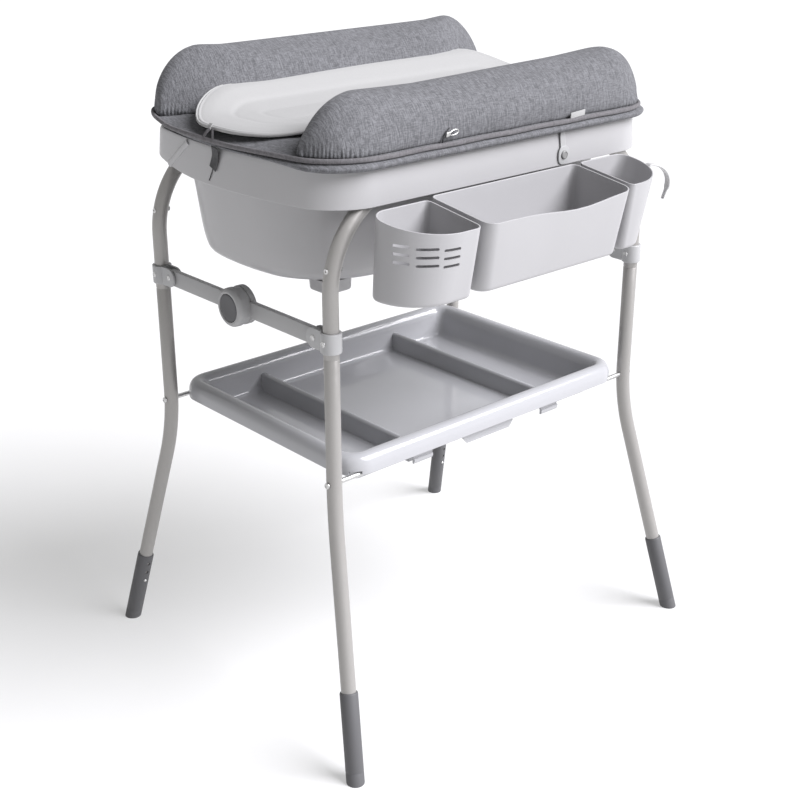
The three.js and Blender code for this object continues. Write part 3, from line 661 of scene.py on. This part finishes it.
def make_tub():
    """The bath with its skirt, feet, handle openings, drain and stopper."""
    floor, lip = BASIN["floor"], SKIRT["low"]
    control = [
        (basin(75, floor), 0), (basin(52, floor), 10), (basin(22, floor + 8), 26),
        (basin(14, floor + 40), 16), (basin(2, lip), 0), (basin(0, TUB_TOP - WALL), 3),
        (skirt(WALL, TUB_TOP - WALL), 3), (skirt(WALL, lip), 1), (skirt(0, lip), 1.4), (skirt(0, TUB_TOP), 9),
        (basin(-3, TUB_TOP), 7), (basin(2 + WALL, lip), 0), (basin(14 + WALL, floor + 40), 16),
        (basin(22 + WALL, floor + 8 + WALL), 24), (basin(52 + WALL, floor + WALL), 10),
        (basin(75, floor + WALL), 0),
    ]
    tub = new_piece("tub_shell", *skin(control, 6), TUB_PLASTIC)
    for sx in SIDES.values():
        for sy in ENDS.values():
            foot = [[(x + sx * TUB_FOOT[0], y + sy * TUB_FOOT[1], z)
                     for x, y, z in plan(28 - i, 27 - i, 18 - i, z, 0, 8, 3)]
                    for i, z in ((2.5, 724), (0.8, 724.8), (0, 727), (-1, floor + 1.5))]
            boolean(tub, new_piece("tool", *loft(foot), TUB_PLASTIC), "UNION")
        opening = block(sorted((sx * HANDLE[0], sx * HANDLE[1])), (BASIN["y"] + 8, SKIRT["y"] + 10),
                        (lip - 10, BAR_Z + TUBE_R + 3))
        boolean(tub, new_piece("tool", *opening, TUB_PLASTIC), "DIFFERENCE")
    drain = new_piece("tool", *lathe([(13, -15), (13, 15)], DRAIN, (0, 0, 1), 40), TUB_PLASTIC)
    boolean(tub, drain, "DIFFERENCE")
    settle(smooth(tub, MOULDED), "tub", "tub_plastic", "tub")
    for side, sx in SIDES.items():
        line = [(sx * (skirt_x(y, z) + 0.3), y, z) for y, z in
                ((147 - 66 * k / 12, 885 + 46 * k / 12) for k in range(13))]
        bead = sweep(line, [(5 * a, 2.6 * b) for a, b in circle(1, 12)], up=(sx, 0, 0))
        settle(new_piece(f"{side}_skirt_bead", *bead, TUB_PLASTIC, 60), "tub", "tub_plastic")
    plug = [(0.01, -1), (11.5, -1), (12.2, 0), (12.2, WALL + 0.3), (17, WALL + 0.3), (17, WALL + 2),
            (15.5, WALL + 3), (6, WALL + 3.6), (5, WALL + 5), (4.6, WALL + 9), (3.5, WALL + 10.4),
            (0.01, WALL + 11)]
    stopper = lathe(plug, DRAIN, (0, 0, 1), 40)
    settle(new_piece("drain_stopper", *stopper, DARK_PLASTIC, 45), "drain_plug", "dark_plastic", "drain_plug")


make_tub()


# ---- tray -----------------------------
TRAY = dict(x=314, y=232, corner=45, top=492, lip=461, floor=434)
RIDGE_TOP = TRAY["top"] - 24
RIDGE_X = 157
RIM_IN = 31     # the well starts this far in from the tray's edge


def make_tray():
    """A deep well under a broad rolled rim, with two ridges across it."""
    t = TRAY

    def at(inset, z):
        return plan(t["x"] - inset, t["y"] - inset, max(t["corner"] - inset, 14), z)

    control = [
        (at(70, t["floor"]), 0), (at(38, t["floor"]), 8), (at(25, t["top"] - 8), 5), (at(4, t["top"] - 6), 6),
        (at(2.6, t["lip"]), 0.8), (at(0, t["lip"]), 0.8), (at(0, t["top"] - 15), 9), (at(5, t["top"] - 4), 8),
        (at(15, t["top"]), 9), (at(25, t["top"] - 2.5), 7), (at(RIM_IN, t["top"] - 12), 7),
        (at(40, t["floor"] + 3), 10), (at(70, t["floor"] + 3), 0),
    ]
    tray = new_piece("tray_moulding", *skin(control, 7), TRAY_PLASTIC)
    reach = t["y"] - RIM_IN
    for sx in SIDES.values():
        ridge = [(-10, t["floor"] + 1.5), (10, t["floor"] + 1.5), *arc(0, RIDGE_TOP - 6, 6, 0, 180, 12)]
        verts, faces = extrude([(x + sx * RIDGE_X, z) for x, z in ridge], (0, 2), -reach, 2 * reach)
        boolean(tray, new_piece("tool", verts, faces, TRAY_PLASTIC), "UNION")
    room = ROD_R + 2.5
    for sy in ENDS.values():
        channel = block((-t["x"] - 5, t["x"] + 5), (sy * LEG_Y - room, sy * LEG_Y + room),
                        (t["lip"] - 5, ROD_Z + room))
        boolean(tray, new_piece("tool", *channel, TRAY_PLASTIC), "DIFFERENCE")
    settle(smooth(tray, MOULDED), "tray", "tray_plastic", "tray")


make_tray()


# ---- containers -----------------------
BOX_BACK, BOX_FRONT = -243, -368
BOX_RIM, BOX_DIP, BOX_FLOOR = 876, 18, 752
POT_WALL = 2.5
CUP = dict(x=(-295, -177), y=(BOX_FRONT, BOX_BACK - 9), round=80)
# columns of slots: angle round the cup, half a slot's length, height of the top slot
SLOTS = ((202, 13, 841), (229.5, 16.4, 838), (257, 13.7, 835))
SLOT_PITCH, SLOT_HALF = 12, 2.2
END_ROUND = 88


def corner_plan(x, y, radii, steps=12, between=10):
    """Plan of a box whose corners each have a radius: back right, back left, front left, front right."""
    corners = ((x[1], y[1], 0, 1, 1), (x[0], y[1], 90, -1, 1),
               (x[0], y[0], 180, -1, -1), (x[1], y[0], 270, 1, -1))

    def outline(inset):
        points = []
        for (cx, cy, start, sx, sy), radius in zip(corners, radii):
            r = max(radius - inset, 1)
            points.append(arc(cx - sx * (inset + r), cy - sy * (inset + r), r, start, start + 90, steps))
        out = []
        for k, part in enumerate(points):
            out += part
            nxt = points[(k + 1) % 4][0]
            out += [(part[-1][0] + (nxt[0] - part[-1][0]) * i / between,
                     part[-1][1] + (nxt[1] - part[-1][1]) * i / between) for i in range(1, between)]
        return out

    return outline


def pot(rim, base, scoop=lambda x: 0):
    """An open container between two plans; its rim dips towards the front, and more by scoop."""
    def top(points, drop):
        out = []
        for x, y in points:
            forward = (BOX_BACK - y) / (BOX_BACK - BOX_FRONT)
            out.append((x, y, BOX_RIM - BOX_DIP * forward - scoop(x) * forward ** 3 - drop))
        return out

    def level(points, z):
        return [(x, y, z) for x, y in points]

    control = [(level(base(20), BOX_FLOOR), 0), (level(base(0), BOX_FLOOR), 7), (top(rim(0), 0), 0.9),
               (top(rim(POT_WALL), 0), 0.9), (level(base(POT_WALL), BOX_FLOOR + POT_WALL), 6),
               (level(base(20), BOX_FLOOR + POT_WALL), 0)]
    return skin(control, 5)


def make_containers():
    """The slotted cup, the storage box and the end cup with its hook."""
    x, y, round_r = CUP["x"], CUP["y"], CUP["round"]
    cup = new_piece("cup_with_slots", *pot(
        corner_plan(x, y, (10, 34, round_r, 14), 20),
        corner_plan((x[0] - 4, x[1] - 4), (y[0] + 16, y[1]), (10, 28, 70, 14), 20)), POT_PLASTIC)
    centre = Vector((x[0] + round_r, y[0] + round_r, 0))
    for degrees, width, top in SLOTS:
        turn = Matrix.Rotation(math.radians(degrees), 3, "Z")
        slot = (arc(width - SLOT_HALF, 0, SLOT_HALF, -90, 90, 8)
                + arc(-width + SLOT_HALF, 0, SLOT_HALF, 90, 270, 8))
        for k in range(3):
            verts, faces = extrude(slot, (1, 2), 55, 60)
            verts = [tuple(turn @ Vector(v) + centre + Vector((0, 0, top - SLOT_PITCH * k))) for v in verts]
            boolean(cup, new_piece("tool", verts, faces, POT_PLASTIC), "DIFFERENCE")
    lo, hi = low("storage_box"), high("storage_box")
    x, y = (lo.x, hi.x), (BOX_FRONT, BOX_BACK)
    box = new_piece("nappy_box", *pot(
        corner_plan(x, y, (12, 12, 20, 22)),
        corner_plan((x[0] + 4, x[1] - 8), (y[0] + 18, y[1]), (12, 12, 20, 22)),
        lambda at: 10 * math.exp(-((at - 28) / 78) ** 2)), POT_PLASTIC)
    lo, hi = low("end_cup"), high("end_cup")
    x, y = (lo.x, hi.x), (BOX_FRONT + 12, BOX_BACK)
    end_r = END_ROUND
    small = new_piece("bottle_cup", *pot(
        corner_plan(x, y, (20, 12, 10, end_r), 16),
        corner_plan((x[0], x[1] - 44), (y[0] + 14, y[1]), (18, 12, 10, 44), 16)), POT_PLASTIC)
    for obj, node in ((cup, "slotted_cup"), (box, "storage_box"), (small, "end_cup")):
        settle(smooth(obj, MOULDED), node, "container_plastic", node)
    make_hook(Vector((hi.x - end_r, y[0] + end_r, 0)), end_r + 0.7)


def make_hook(centre, root):
    """A flat arched hook on the end cup's round corner."""
    top = high("towel_hook").z
    out = [(root + 1.6, top - 10), (root + 1.6, top - 4)]
    out += [(root + 6 + 36.2 * math.cos(t), top - 34 + 32.2 * math.sin(t))
            for t in (math.radians(92 - 112 * i / 20) for i in range(21))]
    out.append((root + 34.4, top - 61))
    turn = Matrix.Rotation(math.radians(-21), 3, "Z")
    spine = [turn @ Vector((r, 0, z)) + centre for r, z in out]
    spine = bent([tuple(p) for p in spine], [0] + [3] * (len(spine) - 2) + [0], 2)
    across = turn @ Vector((0, 1, 0))
    ahead = np.gradient(spine, axis=0)
    ups = np.cross(np.array([tuple(across)] * len(spine)), ahead)
    taper = [min(1, 0.55 + 0.075 * (len(spine) - 1 - k)) for k in range(len(spine))]
    ribbon = band(7.4, 1.8, 0.35, 0.6, 24)
    hook = new_piece("hanging_hook", *sweep(spine, ribbon, up=ups, scale=taper), WHITE_PLASTIC, 60)
    settle(hook, "end_cup", "white_plastic", "towel_hook")


make_containers()


# ---- soft goods -----------------------
MAT_LOW, MAT_TOP = low("mat_base").z, high("mat_base").z


def ease(value, start, stop):
    """0 below start, 1 above stop, and smooth between them."""
    t = min(max((value - start) / (stop - start), 0), 1)
    return t * t * (3 - 2 * t)


def mat_ring(grow, z, growth=None):
    """The mat's outline. z is a height, or says it at a point; growth says how far it swells there."""
    ring = plan(SKIRT["x"] + grow, SKIRT["y"] + grow, SKIRT["corner"] + grow, 0, SKIRT["bow"])
    out = []
    for x, y, _ in ring:
        size = 1 + (growth(x, y) / 300 if growth else 0)
        out.append((x * size, y * size, z(x, y) if callable(z) else z))
    return out


def rim_z(x, y):
    """Height of the binding sewn round the mat: highest along the back."""
    return 947 + 10 * ease(y, 110, 215) + 0.5 * math.sin(x / 19 + y / 31)


def hem_z(x, y):
    """Height of the mat's lower edge: it hangs a little over the skirt's front."""
    return MAT_LOW + 1 - 6.5 * ease(-y, 110, 215) + 4 * ease(y, 110, 215)


def mat_top(x, y):
    """Height of the mat's upper side, which is crowned inside its binding."""
    inward = min(mat_edge(abs(y)) - abs(x), SKIRT["y"] - abs(y))
    return rim_z(x, y) + 2 + (MAT_TOP - rim_z(x, y)) * ease(inward, -8, 46)


def make_mat():
    """The padded base with the binding sewn round it."""
    def out_low(x, y):
        return 1 - 0.036 * y

    control = [(mat_ring(-60, MAT_LOW + 1), 0), (mat_ring(-8, MAT_LOW + 1), 4),
               (mat_ring(0, hem_z, out_low), 3),
               (mat_ring(4, lambda x, y: (hem_z(x, y) + rim_z(x, y)) / 2 - 1, out_low), 5),
               (mat_ring(2.5, lambda x, y: rim_z(x, y) - 3.5), 1.5), (mat_ring(5, rim_z), 2),
               (mat_ring(-4, mat_top), 4)]
    control += [(mat_ring(-inset, mat_top), 0) for inset in (12, 20, 30, 42, 60)]
    mat = new_piece("mat_pad", *skin(control, 5), GREY_FABRIC, 60)
    settle(mat, "mat", "grey_fabric", "mat_base")
    tape = band(2.6, 3.6, 0.8, 0.8, 14)
    edge = new_piece("mat_binding", *sweep(mat_ring(5.5, rim_z), tape, up=(0, 0, 1), closed=True), PIPING)
    settle(edge, "mat", "grey_fabric")


def mat_edge(y, grow=0):
    """How far the mat reaches along X at a given distance from the middle."""
    half_x, half_y, r = SKIRT["x"] + grow, SKIRT["y"] + grow, SKIRT["corner"] + grow
    over = max(y - (half_y - r), 0)
    return half_x - r + math.sqrt(max(r * r - over * over, 0)) - SKIRT["bow"] * (y / half_y) ** 2


def plump(obj, voxel, most, held):
    """Blows a cushion up by cloth simulation; held points stay, and none moves by more than most."""
    remesh = obj.modifiers.new("remesh", "REMESH")
    remesh.mode, remesh.voxel_size, remesh.use_smooth_shade = "VOXEL", voxel * MM, True
    bake(obj)
    count = len(obj.data.vertices)
    start, end = np.empty(count * 3), np.empty(count * 3)
    obj.data.vertices.foreach_get("co", start)
    start = start.reshape(-1, 3)
    seam = obj.vertex_groups.new(name="seam")
    seam.add([k for k, (x, y, z) in enumerate(start / MM) if held(x, y - MID_Y, z)], 1.0, "REPLACE")
    cloth = obj.modifiers.new("cloth", "CLOTH")
    cloth.settings.quality = 4
    cloth.settings.mass = 0.3
    cloth.settings.tension_stiffness = cloth.settings.compression_stiffness = 12
    cloth.settings.use_pressure = True
    cloth.settings.uniform_pressure_force = 4
    cloth.settings.vertex_group_mass = "seam"
    cloth.settings.effector_weights.gravity = 0
    scene = bpy.context.scene
    for frame_number in range(1, 21):
        scene.frame_set(frame_number)
    swollen = obj.evaluated_get(bpy.context.evaluated_depsgraph_get()).to_mesh()
    swollen.vertices.foreach_get("co", end)
    move = end.reshape(-1, 3) - start
    length = np.linalg.norm(move, axis=1, keepdims=True)
    move *= np.minimum(1, most * MM / np.maximum(length, 1e-9))
    obj.modifiers.clear()
    obj.vertex_groups.clear()
    obj.data.vertices.foreach_set("co", (start + move).ravel())
    scene.frame_set(1)
    finer = obj.modifiers.new("finer", "SUBSURF")
    finer.levels = finer.render_levels = 1
    bake(obj)
    obj.data.shade_smooth()
    return obj


# inner and outer seams along Y, and where an end's seam turns its corner
BOLSTER = dict(inner=112, outer=243, corner=182, half=359)


def bolster_reach(y):
    """Half the length of a side cushion at its seam, which draws in towards the baby."""
    return min(mat_edge(y, 3), BOLSTER["half"] - 0.87 * (BOLSTER["corner"] - y))


def bolster(sy, ridge):
    """A side cushion sewn to the mat: D-shaped sections that close down over its ends."""
    inner, outer, across, sections = BOLSTER["inner"], BOLSTER["outer"], 44, 80
    rings = []
    for k in range(sections + 1):
        s = -1 + 2 * k / sections
        s = 0.5 * (math.sin(s * math.pi / 2) + s)
        ring = []
        for i in list(range(across + 1)) + [-j for j in range(1, across // 2)]:
            u = 0.5 - 0.5 * math.cos(math.pi * i / across) if i >= 0 else 1 + i / (across / 2)
            y = inner + (outer - inner) * u
            reach = bolster_reach(y)
            end = reach * (1 - abs(s))
            full = ease(y, 130, 215)
            t = 1 - min(end / (122 - 48 * full), 1)
            dome = (1 - full) * (1 - t ** 1.65) + full * math.sqrt(1 - t * t)
            rise = 0.07 * min(end / 4, 1) + 0.93 * dome
            arch = max(math.sin(math.pi * u ** 1.15), 0) ** 0.62 if 0 < i < across else 0
            base = mat_top(s * reach, sy * y) - 1.5
            ring.append((s * reach, sy * y, base + (ridge(s * reach) - base) * arch * rise))
        rings.append(ring)
    return loft(rings)


def gather(obj):
    """Small pleats where a cushion's ends are drawn into their seam."""
    mesh = obj.data
    for v in mesh.vertices:
        x, y, z = abs(v.co.x / MM), abs(v.co.y / MM - MID_Y), v.co.z / MM
        above = z - mat_top(v.co.x / MM, v.co.y / MM - MID_Y)
        drawn = ease(x, 225, 290) * math.exp(-(max(above, 0) / 13) ** 1.5) * ease(above, -1, 3)
        if drawn > 0.02:
            corner = BOLSTER["corner"]
            along = x - y if y > corner else x + y - 2 * corner
            pleat = math.sin(2 * math.pi * along / 8.2 + 1.3 * math.sin(along / 17))
            v.co += v.normal * (1.9 * MM * drawn * pleat)


def front_ridge(x):
    """Height of the front cushion's ridge along its length."""
    return 1037 + 6 * math.tanh(x / 200)


def back_ridge(x):
    return 1058 + x / 400


def at_seam(x, y, z):
    return z < mat_top(x, y) + 2.5


def make_bolsters():
    for end, ridge in (("front", front_ridge), ("back", back_ridge)):
        roll = new_piece(f"{end}_side_cushion", *bolster(ENDS[end], ridge), GREY_FABRIC, 60)
        plump(roll, voxel=5, most=6, held=at_seam)
        gather(roll)
        settle(roll, "mat", "grey_fabric", f"{end}_bolster")


LINER = dict(x=364, y=134, corner=114, edge=7)
STITCHES = (56, 98)    # the sewn ovals, in from the liner's edge


def liner_point(x, y, height):
    """The towelling pad follows the mat, and its long edges climb the side cushions."""
    along = ease(x, -260, 60)
    climb = (33 + 5 * along) * ease(y, 46, 140) * (1 - 0.45 * ease(abs(x), 250, 372))
    front = 9 * (max(-y - 84, 0) / 50) ** 2
    return x, y, MAT_TOP + 2 + height + climb + front - 2 * ease(x, 270, 364)


def make_liner():
    """White towelling with stitched ovals and a bound edge."""
    def at(inset, height):
        ring = plan(LINER["x"] - inset, LINER["y"] - inset, max(LINER["corner"] - inset, 4), 0, 8)
        return [liner_point(x, y, height) for x, y, _ in ring]

    edge = LINER["edge"]
    control = [(at(60, 1), 0), (at(4, 0), 3), (at(0, edge / 2), 2), (at(3, edge), 2), (at(6, edge - 0.6), 1),
               (at(10, edge + 0.6), 4), (at(22, edge + 2.4), 5)]
    top = edge + 3
    for stitch in STITCHES:
        control += [(at(stitch - 7, top), 4), (at(stitch, top - 1.2), 4), (at(stitch + 7, top), 4)]
    control.append((at(126, top), 0))
    pad = new_piece("terry_liner", *skin(control, 4), WHITE_FABRIC, 60)
    settle(pad, "mat", "white_fabric", "liner_pad")
    tape = [(1.6 * a, 2.6 * b) for a, b in circle(1, 10)]
    binding = sweep(at(-0.4, edge / 2), tape, up=(0, 0, 1), closed=True)
    settle(new_piece("liner_binding", *binding, WHITE_FABRIC), "mat", "white_fabric")


def ribbon_piece(name, points, width, thick, up, material, slot):
    """A flat strap of the mat along points; up is the way its flat side faces."""
    path = bent(points, [0] + [6] * (len(points) - 2) + [0], 5)
    strip = sweep(path, band(width / 2, thick / 2, 0.3, 0.6, 20), up=up)
    settle(new_piece(name, *strip, material, 60), "mat", slot)


SNAP_X = 122.5


def make_trims():
    """Straps, snap, loops, zip slider and the blank tag of the mat."""
    front = -SKIRT["y"] - 0.6
    path = [(115.5, front - 4, 940), (116.5, front - 3, 934), (119, front + 0.4, 925),
            (122, front - 0.4, 898)]
    ribbon_piece("snap_strap", path, 11.5, 1.1, (0, -1, 0), PALE_PLASTIC, "white_plastic")
    tab = [(SNAP_X + a, 893 + b) for a, b in band(12.5, 14.5, 0.7, 0.75, 40)]
    verts, faces = extrude(tab, (0, 2), front - 1.9, 1.9)
    leaf = new_piece("snap_tab", verts, faces, PALE_PLASTIC)
    settle(soften(leaf, 0.7), "mat", "white_plastic")
    snap = [(0.01, 0), (7, 0), (7, 1.0), (6.2, 2.2), (5.0, 2.5), (4.6, 1.9), (0.01, 1.9)]
    settle(new_piece("snap_button", *lathe(snap, (SNAP_X, front - 1.9, 894), (0, -1, 0)), SNAP_PLASTIC, 50),
           "mat", "dark_plastic")
    end = -SKIRT["x"] - 0.7
    path = [(end - 4, -5, 938), (end - 3, -4, 933), (end + 0.4, 0, 922), (end - 0.3, 8, 904)]
    ribbon_piece("end_strap", path, 17, 1.2, (-1, 0, 0), STRAP_FABRIC, "grey_fabric")
    # Painted shadow: a near-black thin rod laid on the skirt stands for the shade inside the slit beside the
    # strap.
    slit = [(end + 0.4, 8 + 12 * t, 904 - 20 * t) for t in np.linspace(0, 1, 8)]
    settle(new_piece("strap_slit_shadow", *sweep(slit, circle(0.7, 8)), SEAM_AND_SHADE_LINE), "tub", "dark_plastic")
    edge = -LINER["x"] - 2
    path = [(edge + 3, 14, 969), (edge, 14, 965), (edge - 2, 13, 961)]
    ribbon_piece("liner_loop", path, 8, 1.2, (-1, 0, 0), WHITE_FABRIC, "white_fabric")
    for k, (a, b) in enumerate(((10, 20), (4, -3))):
        path = [(edge - 2.5, a, 963), (edge - 5, (a + b) / 2, 958), (edge - 8, b, 950)]
        ribbon_piece(f"liner_tie_{k}", path, 5, 1, (-1, 0, 0), PIPING, "grey_fabric")
    side = -SKIRT["y"] - 4.5
    seam = [(-144, side + 0.5, 950), (-142, side, 959), (-137, side + 0.5, 965), (-129, side + 1.5, 970)]
    line = bent(seam, [0, 5, 5, 0], 5)
    settle(new_piece("zip_seam", *sweep(line, circle(0.9, 8)), SEAM_AND_SHADE_LINE), "mat", "dark_plastic")
    slider = extrude([(-139, 957.5), (-131, 959), (-131, 966), (-138, 965)], (0, 2), side - 3.2, 4.5)
    settle(soften(new_piece("zip_slider", *slider, STEEL), 1.2), "mat", "steel")
    ring = [(-124 + 8.5 * a, side - 2.6, 963.5 + 3.6 * b + 1.2 * a) for a, b in circle(1, 28)]
    settle(new_piece("zip_pull", *sweep(ring, circle(1.1, 8), closed=True), STEEL), "mat", "steel")
    tag = extrude([(130, 949.5), (163, 951.5), (163.5, 960.5), (130.5, 958.5)], (0, 2), side - 1.6, 1.6)
    settle(soften(new_piece("blank_tag", *tag, WHITE_FABRIC), 0.6), "mat", "white_fabric")


make_mat()
make_bolsters()
make_liner()
make_trims()


# ---- kept CAD nodes -------------------
KEPT = {"tray_plastic": TRAY_PLASTIC, "pale_plastic": PALE_PLASTIC, "tub_plastic": TUB_PLASTIC}
for node in frame["record"]["subparts"]:
    obj = frame["nodes"][node["node"]]
    finish = KEPT.get(node["material_slot"])
    if finish and not obj.hide_render:
        for slot in obj.material_slots:
            slot.material = finish


# ---- camera, floor and lights ---------
CAMERA_AT = (-1467.17, -1633.35, 1360)
CAMERA_PITCH = math.radians(22.904)              # downwards
CAMERA_HEADING = math.atan2(0.7452, 0.6669)      # from +X towards +Y
CAMERA_LENS = 60.39                              # on a sensor 36 mm wide
KEY_FROM = (0.42, -0.70, 0.70)                   # the way to the key lamp
FLOOR_SIZE = 15000


def place(name, data):
    """An object of its own for a camera or a lamp."""
    obj = bpy.data.objects.new(name, data)
    bpy.context.scene.collection.objects.link(obj)
    return obj


def make_camera():
    camera = bpy.data.cameras.new("camera")
    camera.lens, camera.sensor_width = CAMERA_LENS, 36
    camera.clip_end = 60
    holder = place("camera", camera)
    holder.location = row(CAMERA_AT)
    level = math.cos(CAMERA_PITCH)
    look = Vector((math.cos(CAMERA_HEADING) * level, math.sin(CAMERA_HEADING) * level,
                   -math.sin(CAMERA_PITCH)))
    holder.rotation_euler = look.to_track_quat("-Z", "Y").to_euler()
    bpy.context.scene.camera = holder


def make_floor():
    n = Nodes("floor_paint")
    n.colour(n.remap(n.noise(3, 3), 0.3, 0.7), (0.50, 0.50, 0.50), (0.52, 0.52, 0.52))
    n.constants(Emission_Color=(1, 1, 1, 1), Emission_Strength=0.42, Roughness=0.9, Specular_IOR_Level=0.0)
    corners = [(x * FLOOR_SIZE, y * FLOOR_SIZE, -0.2) for x, y in ((-1, -1), (1, -1), (1, 1), (-1, 1))]
    new_piece("floor", corners, [(0, 1, 2, 3)], n.material)


def make_lights():
    """A dim world for soft fill, bright to reflections and the camera, and one broad key lamp."""
    world = bpy.data.worlds.new("studio")
    bpy.context.scene.world = world
    world.use_nodes = True
    tree = world.node_tree
    dim, bright = tree.nodes["Background"], tree.nodes.new("ShaderNodeBackground")
    dim.inputs["Color"].default_value = (1.0, 0.995, 0.985, 1)
    dim.inputs["Strength"].default_value = 0.18
    bright.inputs["Strength"].default_value = 0.95
    path, either = tree.nodes.new("ShaderNodeLightPath"), tree.nodes.new("ShaderNodeMixShader")
    direct = tree.nodes.new("ShaderNodeMath")
    direct.operation = "MAXIMUM"
    tree.links.new(path.outputs["Is Glossy Ray"], direct.inputs[0])
    tree.links.new(path.outputs["Is Camera Ray"], direct.inputs[1])
    tree.links.new(direct.outputs[0], either.inputs[0])
    tree.links.new(dim.outputs[0], either.inputs[1])
    tree.links.new(bright.outputs[0], either.inputs[2])
    tree.links.new(either.outputs[0], tree.nodes["World Output"].inputs[0])
    lamp = bpy.data.lights.new("key", "SUN")
    lamp.energy, lamp.angle, lamp.color = 5.8, math.radians(44), (0.97, 0.965, 1.0)
    place("key", lamp).rotation_euler = Vector(KEY_FROM).to_track_quat("Z", "Y").to_euler()
    bpy.context.scene.view_settings.view_transform = "Standard"


make_camera()
make_floor()
make_lights()
